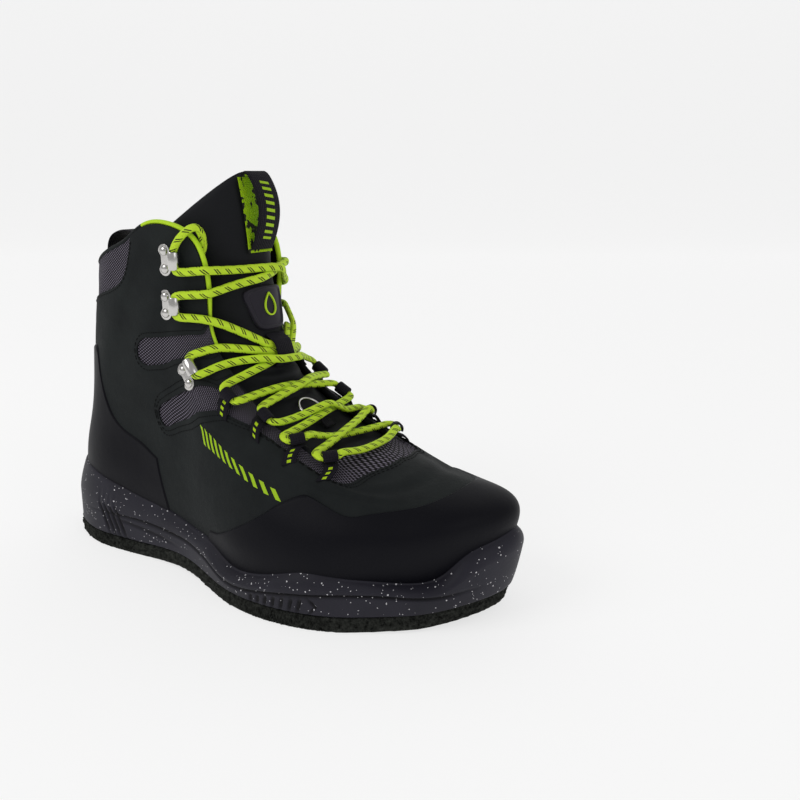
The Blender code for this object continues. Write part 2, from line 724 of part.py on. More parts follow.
def build_ring():
    """A thin ring lying on the tongue, and the webbing tab over its lower side."""
    middle = tongue_face(RING_PLACE, 0, RING_LIFT + RING_WIRE)[0]
    ahead = tongue_face(RING_PLACE - 0.02, 0, RING_LIFT + RING_WIRE)[0] - middle
    ahead /= np.linalg.norm(ahead)
    side = np.array([0.0, 1.0, 0.0])
    lift = np.cross(ahead, side)
    sections = []
    for turn in np.arange(20) * 2 * math.pi / 20:
        spoke = math.cos(turn) * ahead + math.sin(turn) * side
        ring = [
            middle + spoke * (RING_RADIUS + RING_WIRE * math.cos(a)) + lift * RING_WIRE * math.sin(a)
            for a in np.arange(6) * math.pi / 3
        ]
        sections.append(ring)
    loft("ring", sections, STEEL, closed=True)
    over = RING_LIFT + CLEAR + RING_WIRE * 2 + WEBBING_THICK / 2
    over -= RING_LIFT + RING_WIRE
    path = [middle + ahead * (RING_RADIUS + d) + lift * over for d in (-0.0035, 0.0, 0.0028)]
    end = nearest_share(path[-1])
    path += [tongue_face(end - step, 0, WEBBING_LIFT)[0] for step in (0.015, 0.03)]
    return strap("ring_tab", path, side, RING_TAB_WIDTH, WEBBING_THICK, WEBBING)


class Hold:
    """A place where the lace is held: its middle, the way along the throat, the way to the throat, outwards."""

    def __init__(self, low, high, rise, reach, side):
        start, end = skin(side * low[0], low[1])[0], skin(side * high[0], high[1])[0]
        self.middle = (start + end) / 2
        station, level = side * (low[0] + high[0]) / 2, (low[1] + high[1]) / 2
        self.out = skin(station, level, 1.0)[0] - skin(station, level)[0]
        along = end - start
        along -= self.out * (along @ self.out)
        self.along = along / np.linalg.norm(along)
        self.inward = np.cross(self.out, self.along) * side
        self.gap = np.linalg.norm(end - start)
        self.lace = self.middle + self.out * rise + self.inward * reach
        self.side = side


def curl(centre, inward, out, radius, turn, steps):
    """Points of an arc that starts under its centre and curls up on the inward side."""
    angles = np.radians(np.linspace(-90, turn, steps))
    return centre + radius * (np.cos(angles)[:, None] * inward + np.sin(angles)[:, None] * out)


def hook_hold(rivets, side):
    rise = PLATE_LIFT + PLATE_THICK / 2 + HOOK_CURL
    return Hold(rivets[0], rivets[1], rise, HOOK_REACH, side)


def build_hook(name, rivets, side):
    hold = hook_hold(rivets, side)
    floor = hold.middle + hold.out * PLATE_LIFT
    turns = np.arange(8) * math.pi / 7
    shape = [(hold.gap / 2 + PLATE_LOBE * math.sin(a), PLATE_LOBE * math.cos(a)) for a in turns]
    shape += [(-hold.gap / 2 - PLATE_LOBE * math.sin(a), -PLATE_LOBE * math.cos(a)) for a in turns]
    shape.insert(8, (0.0, -0.62 * PLATE_LOBE))
    flat = [floor + hold.along * a + hold.inward * b for a, b in shape]
    plate = loft(name, [flat, [p + hold.out * PLATE_THICK for p in flat]], STEEL)
    joined, faces = [], []
    for sign in (-1, 1):
        centre = floor + hold.along * sign * hold.gap / 2 + hold.out * PLATE_THICK * 0.5
        start = len(joined)
        for share, rise in ((1.0, 0.0), (0.9, 0.6), (0.5, 1.0)):
            for a in np.arange(8) * math.pi / 4:
                spoke = math.cos(a) * hold.along + math.sin(a) * hold.inward
                up = (PLATE_THICK * 0.5 + RIVET_RISE * rise) if rise else 0.0
                joined.append(centre + spoke * RIVET_RADIUS * share + hold.out * up)
        for k in range(2):
            a = start + 8 * k
            faces += [(a + j, a + (j + 1) % 8, a + 8 + (j + 1) % 8, a + 8 + j) for j in range(8)]
        faces += [tuple(range(start, start + 8)), tuple(range(start + 16, start + 24))]
    centre = floor + hold.inward * HOOK_REACH + hold.out * (PLATE_THICK / 2 + HOOK_CURL)
    foot = floor + hold.inward * (RIVET_RADIUS + CLEAR) + hold.out * PLATE_THICK / 2
    path = np.vstack([foot, curl(centre, hold.inward, hold.out, HOOK_CURL, 115, 7)])
    run = np.gradient(path, axis=0)
    lift = np.cross(run / np.linalg.norm(run, axis=1)[:, None], hold.along)
    lift /= np.linalg.norm(lift, axis=1)[:, None]
    start = len(joined)
    widths = np.interp(np.arange(len(path)), (0, 1, 3, 7), (HOOK_WIDTH, HOOK_WIDTH, HOOK_WIDTH, HOOK_WIDTH * 0.7))
    for centre, up, width in zip(path, lift, widths):
        for a, b in ((-1, -1), (1, -1), (1, 1), (-1, 1)):
            joined.append(centre + hold.along * a * width / 2 + up * b * HOOK_THICK / 2)
    for k in range(len(path) - 1):
        a = start + 4 * k
        faces += [(a + j, a + (j + 1) % 4, a + 4 + (j + 1) % 4, a + 4 + j) for j in range(4)]
    end = start + 4 * (len(path) - 1)
    faces += [(start, start + 1, start + 2, start + 3), (end, end + 1, end + 2, end + 3)]
    fittings = add_solid(name + "_fittings", joined, faces, STEEL, cutters)
    join = plate.modifiers.new("fittings", "BOOLEAN")
    join.solver = "EXACT"
    join.operation = "UNION"
    join.object = fittings


def loop_hold(ends, side):
    """The eye of a webbing loop, with its way along the throat square to the strap."""
    foot, eye = ends
    hold = Hold(foot, eye, 0, 0, side)
    at, level = side * eye[0], eye[1]
    hold.out = skin(at, level, 1.0)[0] - skin(at, level)[0]
    end = skin(at, level, WEBBING_LIFT)[0]
    before = skin(side * (0.85 * eye[0] + 0.15 * foot[0]), 0.85 * level + 0.15 * foot[1], WEBBING_LIFT)[0]
    inward = end - before
    inward -= hold.out * (inward @ hold.out)
    hold.inward = inward / np.linalg.norm(inward)
    hold.along = np.cross(hold.inward, hold.out) * side
    hold.lace = end + hold.out * LOOP_CURL
    hold.gap = LOOP_WIDTH
    return hold


def build_loop(name, ends, side):
    hold = loop_hold(ends, side)
    (station, level), (eye_station, eye_level) = ends
    shares = np.linspace(0, 1, 6)[:-1]
    at = side * (station + (eye_station - station) * shares)
    on = level + (eye_level - level) * shares
    flat = skin(at, on, WEBBING_LIFT + LOOP_ARCH * np.sin(shares * math.pi))
    path = np.vstack([flat, curl(hold.lace, hold.inward, hold.out, LOOP_CURL, 150, 7)])
    return strap(name, path, hold.along, LOOP_WIDTH, WEBBING_THICK, WEBBING)


def build_holds():
    for number, rivets in enumerate(HOOK_RIVETS, 1):
        for name, side in both_sides("lace_hook_%d" % number):
            build_hook(name, rivets, side)
    for number, ends in enumerate(LOOP_ENDS, 1):
        for name, side in both_sides("lace_loop_%d" % number):
            build_loop(name, ends, side)


def build_heel_loop():
    """A strap that rises from the back of the heel, turns forward over the edge and goes down inside."""
    half = WEBBING_THICK / 2
    outer = BEAD_PROUD + CLEAR + half
    inner = -(UPPER_WALL + BEAD_PROUD + WEBBING_THICK + CLEAR + half)
    rows = [skin(0, LEVELS - down, outer)[0] for down in (0.42, 0.2, 0.0)]
    edge = skin_points(np.array([0.0]), np.array([float(LEVELS)]))[0]
    rows += [edge + np.array([x, 0, z]) for x, z in HEEL_LOOP_PATH]
    rows += [skin(0, LEVELS - down, inner)[0] for down in (0.05, 0.3)]
    rows = np.array(rows)
    path = smooth_values(rows, np.linspace(0, len(rows) - 1, 19))
    path[:, 1] = 0
    return strap("heel_pull_loop", path, (0.0, 1.0, 0.0), HEEL_LOOP_WIDTH, WEBBING_THICK, WEBBING)


def nearest_share(point):
    """Share of the way up the tongue at which its middle line is nearest to a point seen from the side."""
    shares = np.linspace(0, 1, 101)
    middle = tongue_points(shares, shares * 0)
    return shares[np.argmin(np.hypot(middle[:, 0] - point[0], middle[:, 2] - point[2]))]


def edge_point(point, side):
    """The place just outside the throat edge nearest to a point, clear of the edge by the lace."""
    stations = side * np.linspace(6.4, 12.2, 117)
    here, up, out = edge_frame(stations)
    best = np.argmin(np.linalg.norm(here - point, axis=1))
    bead = BEAD_HEIGHT + CLEAR if abs(stations[best]) < BEAD_END + 0.5 else 0.0
    reach = LACE_RADIUS + LACE_GAP
    return here[best] + out[best] * 0.8 * (reach + BEAD_PROUD) + up[best] * 0.7 * (reach + bead)


def clear_of_upper(point, side):
    """The point, moved out to where the lace is clear of the upper's face."""
    stations, levels = np.meshgrid(np.linspace(5.6, 12.8, 73), np.linspace(2.5, LEVELS, 31))
    face = skin_points(side * stations.ravel(), levels.ravel())
    best = np.argmin(np.linalg.norm(face - point, axis=1))
    at, level = side * stations.ravel()[best], levels.ravel()[best]
    out = skin(at, level, 1.0)[0] - skin(at, level)[0]
    rise = (point - face[best]) @ out
    return point + out * max(0.0, LACE_RADIUS + 2 * LACE_GAP - rise)


def leave(hold, point):
    """Way-points from a hold to the throat edge: none where the hold's eye is at the edge."""
    edge = edge_point(point, hold.side)
    if (edge - point) @ hold.inward < LACE_RADIUS:
        return []
    return [clear_of_upper((point + edge) / 2, hold.side), edge]


def strand(start, end, holds, number, over):
    """Way-points over the tongue between two holds, from one side to the other."""
    lateral, medial = (start, end) if holds[0].side == 1 else (end, start)
    first, last = nearest_share(lateral), nearest_share(medial)
    across, down = CROSSINGS[number]
    middle = max(first, last) - abs(last - first) * down
    reach = LACE_RADIUS + TONGUE_GAP
    lift = (2 * LACE_RADIUS + CLEAR) * over
    soon = first + (middle - first) * EARLY
    places = [(-SIDE_REACH, first), (-0.55, soon), (across, middle), (SIDE_REACH, last)]
    rows = [(-0.55, 0.0), (across - 0.42, 0.8), (across, 1.0), (across + 0.28, 0.3)]
    if number == KEEPER_PAIR:
        held = KEEPER_PATH[3][0] + (KEEPER_SHIFT if first > last else -KEEPER_SHIFT)
        places = [(-SIDE_REACH, first), (-0.25, held), (0.25, held), (across, middle), (SIDE_REACH, last)]
        rows = [(-0.55, 0.0), (-0.25, 0.0), (0.25, 0.0), (across - 0.18, 0.7), (across, 1.0)]
    places = np.array(places)
    points = []
    for v, raised in rows:
        share = np.interp(v, places[:, 0], places[:, 1])
        near_ring = abs(share - RING_PLACE + 0.03) < 0.06 and abs(v) < 0.3
        low = OVER_RING if near_ring else reach
        points.append(tongue_face(share, v, low + raised * lift)[0])
    ways = [leave(hold, point) for hold, point in zip(holds, (start, end))]
    if holds[0].side == -1:
        points = points[::-1]
    return ways[0] + points + ways[1][::-1]


def lace_path():
    """Way-points of the lace from the top hook on the outer side, down, round the toe end and back up."""
    holds = {}
    for side in (1, -1):
        for number, rivets in enumerate(HOOK_RIVETS):
            holds[number, side] = hook_hold(rivets, side)
        for number, ends in enumerate(LOOP_ENDS, len(HOOK_RIVETS)):
            holds[number, side] = loop_hold(ends, side)
    last = len(HOOK_RIVETS) + len(LOOP_ENDS) - 1
    order = [(n, 1 if n % 2 == 0 else -1) for n in range(last + 1)]
    order += [(n, -side) for n, side in order[::-1]]
    points = []
    for place, (number, side) in enumerate(order):
        hold = holds[number, side]
        way = hold.along * (1 if place <= last else -1)
        half = hold.gap / 2 * (HOLD_REACH if number < len(HOOK_RIVETS) else LOOP_REACH)
        turn = hold.inward * LACE_RADIUS + hold.out * 0.3 * LACE_RADIUS
        here = [hold.lace - way * half, hold.lace + way * half]
        if place > 0:
            here.insert(0, hold.lace - way * (half + LACE_RADIUS) + turn)
        if place < len(order) - 1:
            here.append(hold.lace + way * (half + LACE_RADIUS) + turn)
        points.append(here)
    path, held = list(points[0]), [True] * len(points[0])
    for place in range(1, len(order)):
        before, after = order[place - 1], order[place]
        if place == last + 1:
            bar = before[1] * np.array(TOE_BAR)
            path += [skin(s, TOE_BAR_LEVEL, LACE_RADIUS + LACE_GAP)[0] for s in bar]
        else:
            pair = min(before[0], after[0])
            ends = points[place - 1][-1], points[place][0]
            path += strand(*ends, (holds[before], holds[after]), pair, place <= last)
        held += [False] * (len(path) - len(held))
        path += points[place]
        held += [True] * len(points[place])
    return np.array(path), np.array(held)


def divided(path, held, step):
    """The path with points added so that none lies further than a step from the next."""
    points, kept = [path[0]], [held[0]]
    for before, after, flag in zip(path, path[1:], held[1:]):
        count = max(1, math.ceil(np.linalg.norm(after - before) / step))
        points += [before + (after - before) * (k + 1) / count for k in range(count)]
        kept += [False] * (count - 1) + [flag]
    return np.array(points), np.array(kept)


def trees_of(names):
    """A search tree over the faces of each finished piece."""
    bpy.context.view_layer.update()
    graph = bpy.context.evaluated_depsgraph_get()
    return [BVHTree.FromObject(bpy.data.objects[name], graph) for name in names]


def off_pieces(points, trees, need):
    """For each point, the move that takes it as far as needed from the pieces."""
    moves = np.zeros_like(points)
    for tree in trees:
        for row, point in enumerate(points):
            place, normal, _, far = tree.find_nearest(Vector(point), need + 0.004)
            if place is None:
                continue
            away = point - np.array(place)
            inside = away @ np.array(normal) < -0.3 * far
            if not inside and far >= need:
                continue
            way = np.array(normal) if inside or far < 1e-6 else away / far
            moves[row] += way * (need + far if inside else need - far)
    return moves


def off_itself(path, need):
    """For each point of a path, the move that takes its strands as far apart as needed."""
    starts, runs = path[:-1], path[1:] - path[:-1]
    first, second = np.triu_indices(len(starts), 4)
    near = np.linalg.norm(starts[first] - starts[second], axis=1) < need + 0.012
    first, second = first[near], second[near]
    u, v, w = runs[first], runs[second], starts[first] - starts[second]
    a, b, c = (u * u).sum(1), (u * v).sum(1), (v * v).sum(1)
    d, e = (u * w).sum(1), (v * w).sum(1)
    cross = np.maximum(a * c - b * b, 1e-14)
    s = np.clip((b * e - c * d) / cross, 0, 1)
    t = np.clip((b * s + e) / c, 0, 1)
    s = np.clip((b * t - d) / a, 0, 1)
    gap = w + u * s[:, None] - v * t[:, None]
    far = np.linalg.norm(gap, axis=1)
    close = far < need
    push = gap[close] / np.maximum(far[close], 1e-6)[:, None] * (need - far[close])[:, None] / 2
    moves = np.zeros_like(path)
    for rows, sign in ((first[close], 1), (second[close], -1)):
        np.add.at(moves, rows, push * sign * 0.5)
        np.add.at(moves, rows + 1, push * sign * 0.5)
    return moves


def settle(path, held, groups):
    """The path drawn tight between its holds, and kept clear of the pieces and of itself."""
    path, held = divided(path, held, SETTLE_STEP)
    free = ~held[:, None]
    for turn in range(SETTLE_TURNS):
        ease = SETTLE_PULL if turn < 0.6 * SETTLE_TURNS else 0.0
        middle = np.zeros_like(path)
        middle[1:-1] = (path[:-2] + path[2:]) / 2 - path[1:-1]
        path += free * middle * ease
        path += free * off_itself(path, 2 * LACE_RADIUS + CLEAR)
        for trees, need in groups:
            path += free * off_pieces(path, trees, need)
            between = off_pieces((path[1:] + path[:-1]) / 2, trees, need)
            path[1:] += free[1:] * between * 0.5
            path[:-1] += free[:-1] * between * 0.5
    return thinned(path, held)


def thinned(path, held):
    """The path without the points that lie close to the straight line between their neighbours."""
    keep = set(np.flatnonzero(held)) | {0, len(path) - 1}
    spans = sorted(keep)
    todo = list(zip(spans, spans[1:]))
    while todo:
        low, high = todo.pop()
        if high - low < 2:
            continue
        way = path[high] - path[low]
        way /= np.linalg.norm(way)
        off = path[low + 1:high] - path[low]
        off = np.linalg.norm(off - np.outer(off @ way, way), axis=1)
        if off.max() > SETTLE_THIN:
            middle = low + 1 + int(off.argmax())
            keep.add(middle)
            todo += [(low, middle), (middle, high)]
    return path[sorted(keep)]


def tube(name, path, radius, sides, finish):
    """A round tube along way-points, with its section carried along without twist."""
    run = np.gradient(path, axis=0)
    run /= np.linalg.norm(run, axis=1)[:, None]
    across = np.cross(run[0], (0.0, 0.0, 1.0))
    sections = []
    for centre, way in zip(path, run):
        across -= way * (across @ way)
        across /= np.linalg.norm(across)
        lift = np.cross(way, across)
        turns = np.arange(sides) * 2 * math.pi / sides
        sections.append([centre + radius * (math.cos(a) * across + math.sin(a) * lift) for a in turns])
    return loft(name, sections, finish)


def cord(name, path, radius, finish):
    """A free cord: a curve with a round bevel and closed ends."""
    curve = bpy.data.curves.new(name, "CURVE")
    curve.dimensions = "3D"
    curve.bevel_depth = radius
    curve.bevel_resolution = 2
    curve.use_fill_caps = True
    line = curve.splines.new("POLY")
    line.points.add(len(path) - 1)
    for point, place in zip(line.points, path):
        point.co = (*place, 1)
    curve.materials.append(finish)
    made = bpy.data.objects.new(name, curve)
    parts.objects.link(made)
    return made


def build_lace():
    names = [o.name for o in parts.objects]
    holds = [n for n in names if n.startswith(("lace_hook", "lace_loop"))]
    soft = ["upper", "collar_binding", "tongue", "tongue_badge", "tongue_pull_loop", "lace_keeper", "ring", "ring_tab"]
    groups = ((trees_of(holds), LACE_RADIUS + HOLD_GAP), (trees_of(soft), LACE_RADIUS + LACE_GAP))
    path = settle(*lace_path(), groups)
    tube("lace", path, LACE_RADIUS, 5, LIME)
    for (name, side), start, after in zip(both_sides("lace_end"), (path[0], path[-1]), (path[1], path[-2])):
        way = (start - after) / np.linalg.norm(start - after)
        rows = [start + way * CORD_GAP]
        rows += [skin(side * s, level, out)[0] for s, level, out in LACE_END_PATH]
        rows = np.array(rows)
        cord(name, smooth_values(rows, np.linspace(0, len(rows) - 1, 11)), LACE_RADIUS, LIME)


build_felt()
build_midsole()
build_insole()
build_upper()
build_wraps()
build_binding()
build_tongue()
build_badge()
build_tongue_straps()
build_ring()
build_holds()
build_heel_loop()
build_lace()
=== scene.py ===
# %% [markdown]
# # Wading boot, right foot
# The boot stands empty on a pale floor, its outer side to the camera. The CAD part gives every size, and
# this script dresses it: nubuck panels over ballistic mesh, a speckled cup midsole, felt, webbing and a
# flecked lace. Almost every piece is a flat pattern that is bent onto the same last, as a real boot is made.

# %%
import math

import bpy
import numpy as np
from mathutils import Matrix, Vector
from mathutils.bvhtree import BVHTree


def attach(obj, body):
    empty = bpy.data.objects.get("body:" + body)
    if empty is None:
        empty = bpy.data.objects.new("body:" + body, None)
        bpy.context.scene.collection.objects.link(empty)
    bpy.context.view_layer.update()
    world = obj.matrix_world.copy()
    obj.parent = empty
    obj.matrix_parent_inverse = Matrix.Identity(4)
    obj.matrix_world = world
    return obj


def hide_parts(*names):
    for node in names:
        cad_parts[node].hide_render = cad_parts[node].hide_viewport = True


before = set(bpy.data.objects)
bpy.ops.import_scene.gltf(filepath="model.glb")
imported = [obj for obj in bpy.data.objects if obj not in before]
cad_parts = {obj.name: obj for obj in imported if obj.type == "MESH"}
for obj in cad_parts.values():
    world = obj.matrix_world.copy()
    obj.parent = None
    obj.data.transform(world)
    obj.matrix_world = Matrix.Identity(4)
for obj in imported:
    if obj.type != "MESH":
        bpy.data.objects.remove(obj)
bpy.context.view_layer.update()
print(len(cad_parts), "CAD nodes")

# %% [markdown]
# ## Sizes and section tables
# These are the part's own numbers. Stations run from 0 at the back of the heel to 13 at the toe and on to 26
# round the inner side; levels run from 0 at the sole to 4 at the opening's edge.

# %%
SOLE_LENGTH = 0.320
BALL_WIDTH = 0.127
SHAFT_HEIGHT = 0.215
HEEL_REACH = 0.047
FELT_THICK = 0.009
FELT_SPREAD = 0.0006
FEATHER_INSET = 0.0075
LIP_THICK = 0.0035
SIDEWALL_HEIGHT = 0.043
TOE_BUMPER = 0.0105
BED_THICK = 0.020
GROOVE_DEPTH = 0.0012
GROOVE_HALF_WIDTH = 0.0013
UPPER_WALL = 0.0024
BEAD_HEIGHT = 0.0017
BEAD_PROUD = 0.0007
TONGUE_THICK = 0.006
TONGUE_EDGE = 0.002
WEBBING_THICK = 0.0012
LACE_RADIUS = 0.0021
LOOP_WIDTH = 0.0085
PULL_WIDTH = 0.019
HEEL_LOOP_WIDTH = 0.018
KEEPER_WIDTH = 0.015
RING_RADIUS = 0.0085
RING_WIRE = 0.0008
RIVET_RADIUS = 0.0029
RIVET_RISE = 0.0018
PLATE_THICK = 0.001
PLATE_LOBE = 0.0042
HOOK_THICK = 0.0012
CLEAR = 0.0003
LACE_GAP = 0.0006
HOLD_GAP = 0.0007
TONGUE_GAP = 0.0011
OVER_RING = 0.0062
TOE_SPRING = 0.005
PULL_THICK = 0.0015
RING_TAB_WIDTH = 0.009
RING_LIFT = 0.0020
LOOP_ARCH = 0.0022
HOOK_REACH = 0.0095
HOOK_CURL = LACE_RADIUS + 0.0005 + HOOK_THICK / 2
LOOP_CURL = LACE_RADIUS + 0.0005 + WEBBING_THICK / 2
PLATE_LIFT = CLEAR + 0.0004
WEBBING_LIFT = CLEAR + 0.0014 + WEBBING_THICK / 2
HOLD_REACH = 0.9
LOOP_REACH = 1.12
BADGE_LOW = 0.605
BADGE_HIGH = 0.715
BADGE_WIDTH = 0.52
BADGE_TAPER = 0.17
RING_PLACE = 0.335
KEEPER_PAIR = 1
TOE_BAR_LEVEL = 3.8
BEAD_END = 9.0
SIDE_REACH = 1.2
CORD_GAP = 0.0013
EARLY = 0.6
KEEPER_SHIFT = 0.0135
SETTLE_STEP = 0.0045
SETTLE_TURNS = 50
SETTLE_PULL = 0.35
SETTLE_THIN = 0.0004

# %%
# (along, lateral, medial) of the ground outline; (along, lateral, medial, up) of the upper's four heights
OUTLINE = (
    (0.000, 0.000, 0.000),
    (0.019, 0.165, 0.165),
    (0.069, 0.291, 0.291),
    (0.150, 0.370, 0.339),
    (0.250, 0.374, 0.291),
    (0.359, 0.378, 0.260),
    (0.463, 0.441, 0.268),
    (0.563, 0.535, 0.331),
    (0.656, 0.571, 0.394),
    (0.750, 0.543, 0.433),
    (0.838, 0.449, 0.417),
    (0.919, 0.307, 0.339),
    (0.975, 0.134, 0.236),
    (1.000, -0.071, 0.071),
)

RAND_LINE = (
    (0.044, 0.000, 0.000, 0.279),
    (0.056, 0.142, 0.142, 0.279),
    (0.094, 0.256, 0.256, 0.274),
    (0.163, 0.327, 0.315, 0.265),
    (0.256, 0.346, 0.283, 0.251),
    (0.356, 0.354, 0.260, 0.233),
    (0.456, 0.409, 0.268, 0.219),
    (0.553, 0.504, 0.323, 0.209),
    (0.644, 0.543, 0.386, 0.205),
    (0.738, 0.528, 0.425, 0.205),
    (0.828, 0.449, 0.417, 0.214),
    (0.916, 0.323, 0.346, 0.233),
    (0.981, 0.157, 0.228, 0.251),
    (1.016, -0.079, 0.079, 0.265),
)

ANKLE_LINE = (
    (0.067, 0.000, 0.000, 0.428),
    (0.077, 0.118, 0.118, 0.428),
    (0.106, 0.220, 0.220, 0.433),
    (0.163, 0.291, 0.283, 0.442),
    (0.237, 0.315, 0.283, 0.451),
    (0.319, 0.331, 0.276, 0.447),
    (0.388, 0.348, 0.281, 0.412),
    (0.456, 0.394, 0.309, 0.381),
    (0.537, 0.452, 0.354, 0.353),
    (0.634, 0.480, 0.394, 0.328),
    (0.762, 0.433, 0.386, 0.307),
    (0.866, 0.323, 0.323, 0.298),
    (0.944, 0.173, 0.205, 0.309),
    (0.969, -0.063, 0.063, 0.323),
)

INSTEP_LINE = (
    (0.095, 0.000, 0.000, 0.674),
    (0.105, 0.118, 0.118, 0.674),
    (0.131, 0.220, 0.220, 0.684),
    (0.184, 0.291, 0.291, 0.707),
    (0.244, 0.315, 0.307, 0.735),
    (0.306, 0.319, 0.307, 0.753),
    (0.359, 0.312, 0.301, 0.723),
    (0.394, 0.313, 0.298, 0.691),
    (0.438, 0.319, 0.302, 0.623),
    (0.512, 0.341, 0.321, 0.523),
    (0.628, 0.352, 0.323, 0.434),
    (0.750, 0.312, 0.296, 0.363),
    (0.822, 0.197, 0.189, 0.349),
    (0.850, -0.008, 0.008, 0.360),
)

OPENING_EDGE = (
    (0.113, 0.000, 0.000, 0.834),
    (0.120, 0.118, 0.118, 0.839),
    (0.150, 0.220, 0.220, 0.862),
    (0.203, 0.280, 0.280, 0.899),
    (0.266, 0.303, 0.299, 0.934),
    (0.328, 0.311, 0.307, 0.983),
    (0.394, 0.304, 0.296, 0.981),
    (0.442, 0.285, 0.279, 0.930),
    (0.456, 0.268, 0.263, 0.809),
    (0.466, 0.256, 0.249, 0.665),
    (0.553, 0.246, 0.239, 0.519),
    (0.644, 0.268, 0.260, 0.440),
    (0.719, 0.244, 0.236, 0.399),
    (0.734, 0.000, 0.000, 0.408),
)

# %%
# (station, lip, groove, groove depth, flare, widest) of the midsole's wall
SIDEWALL = (
    (0.00, 0.981, 0.349, 0.0, 0.00, 0.558),
    (2.60, 0.977, 0.349, 0.0, 0.00, 0.581),
    (3.15, 0.879, 0.360, 0.3, 0.02, 0.558),
    (3.75, 0.809, 0.370, 0.8, 0.04, 0.558),
    (4.30, 0.712, 0.365, 1.0, 0.06, 0.535),
    (5.15, 0.600, 0.328, 1.0, 0.10, 0.465),
    (5.70, 0.507, 0.326, 1.0, 0.12, 0.430),
    (6.45, 0.502, 0.256, 1.0, 0.16, 0.372),
    (6.85, 0.360, 0.158, 1.0, 0.19, 0.256),
    (7.15, 0.314, 0.128, 1.0, 0.20, 0.221),
    (7.50, 0.328, 0.133, 1.0, 0.22, 0.233),
    (8.00, 0.391, 0.186, 1.0, 0.24, 0.291),
    (8.50, 0.491, 0.242, 1.0, 0.24, 0.372),
    (8.90, 0.574, 0.272, 1.0, 0.24, 0.430),
    (9.70, 0.519, 0.323, 1.0, 0.24, 0.419),
    (10.30, 0.488, 0.335, 1.0, 0.33, 0.419),
    (10.85, 0.440, 0.295, 1.0, 0.43, 0.372),
    (11.30, 0.449, 0.286, 1.0, 0.52, 0.372),
    (11.60, 0.563, 0.309, 0.8, 0.62, 0.465),
    (11.85, 0.791, 0.337, 0.4, 0.74, 0.628),
    (12.15, 0.872, 0.349, 0.0, 0.85, 0.744),
    (12.60, 0.926, 0.349, 0.0, 0.93, 0.791),
    (13.00, 0.998, 0.349, 0.0, 1.00, 0.837),
)

GROUND = (
    (0.0, 0.3), (0.05, 0.0), (0.25, 0.0), (0.42, 0.4), (0.55, 0.0), (0.78, 0.0), (0.9, 0.3), (1.0, 1.0),
)
FOOTBED = ((0.0, 1.0), (0.25, 0.9), (0.55, 0.5), (0.8, 0.55), (1.0, 0.9))

RAND_TOP = (
    (6.33, 0.70), (6.75, 0.80), (7.8, 1.25), (8.85, 1.68), (9.45, 2.0), (9.8, 2.18), (10.0, 2.24),
    (10.12, 1.98), (10.3, 1.9), (10.75, 2.05), (11.35, 2.22), (12.0, 2.3), (13.0, 2.33),
)

COUNTER_TOP = ((0.0, 2.73), (2.7, 2.73), (3.1, 2.25), (3.4, 1.95), (3.9, 1.73), (4.6, 1.6), (5.0, 1.48))

# %%
# (centre along, centre up, side along, side up, half width, roundness) of the tongue, then the straps' ways
TONGUE = (
    (0.787, 0.358, 0.762, 0.353, 0.236, 2.5),
    (0.719, 0.393, 0.688, 0.398, 0.252, 2.8),
    (0.656, 0.428, 0.619, 0.430, 0.260, 3.0),
    (0.603, 0.470, 0.548, 0.493, 0.252, 3.0),
    (0.561, 0.540, 0.488, 0.567, 0.250, 2.8),
    (0.528, 0.637, 0.442, 0.647, 0.250, 2.5),
    (0.509, 0.767, 0.408, 0.735, 0.256, 2.5),
    (0.497, 0.884, 0.392, 0.828, 0.262, 2.4),
    (0.487, 1.014, 0.381, 0.912, 0.268, 2.2),
    (0.472, 1.130, 0.369, 0.986, 0.260, 2.0),
)

PULL_PATH = (
    (0.985, 0.0013), (0.99, 0.0040), (0.965, 0.0064), (0.92, 0.0080), (0.875, 0.0072), (0.835, 0.0042),
    (0.808, 0.0013),
)

KEEPER_PATH = (
    (0.597, 0.0014), (0.590, 0.0022), (0.575, 0.0060), (0.552, 0.0066), (0.529, 0.0060), (0.514, 0.0022),
    (0.507, 0.0014),
)

HEEL_LOOP_PATH = (
    (-0.0006, 0.0115), (0.0085, 0.0172), (0.0195, 0.0177), (0.0242, 0.0145), (0.0205, 0.0065),
    (0.0105, -0.001),
)

# %%
# Where the lace is held, how it crosses and where it ends
HOOK_RIVETS = (
    ((5.88, 3.72), (6.03, 3.54)),
    ((6.17, 3.26), (6.28, 3.11)),
    ((7.34, 2.74), (7.61, 2.68)),
)

LOOP_ENDS = (
    ((8.83, 2.74), (9.28, 3.22)),
    ((9.56, 2.80), (10.07, 3.52)),
    ((10.02, 2.67), (10.97, 3.81)),
    ((10.51, 2.65), (11.72, 3.78)),
)

LACE_END_PATH = (
    (6.5, 3.97, 0.0044), (6.75, 4.15, 0.0000), (7.0, 4.07, -0.0055), (7.1, 3.93, -0.0056),
    (7.12, 3.82, -0.0056),
)

# Its crossings, the midsole's ribs, and how many stations and levels there are
CROSSINGS = ((0.38, 0.25), (0.6, 0.5), (0.38, 0.8), (0.3, 0.45), (0.2, 0.5), (0.1, 0.5))
TOE_BAR = (12.35, 13.0, 13.65)
FOREFOOT_RIBS = (7.83, 8.0, 8.175, 8.35, 8.53, 8.71, 8.88)
HEEL_RIBS = (3.3, 3.45, 3.6, 3.75)
STATIONS = len(OUTLINE)
RIBS = 2 * (STATIONS - 1)
TOE = STATIONS - 1
LEVELS = 4

# %% [markdown]
# ## The last: one function for the whole upper
# A cubic curve runs through each table's rows. By hand this would be a lattice or a set of lofted curves; a
# function was chosen so that every panel, seam and stitch can be laid on exactly the same surface.

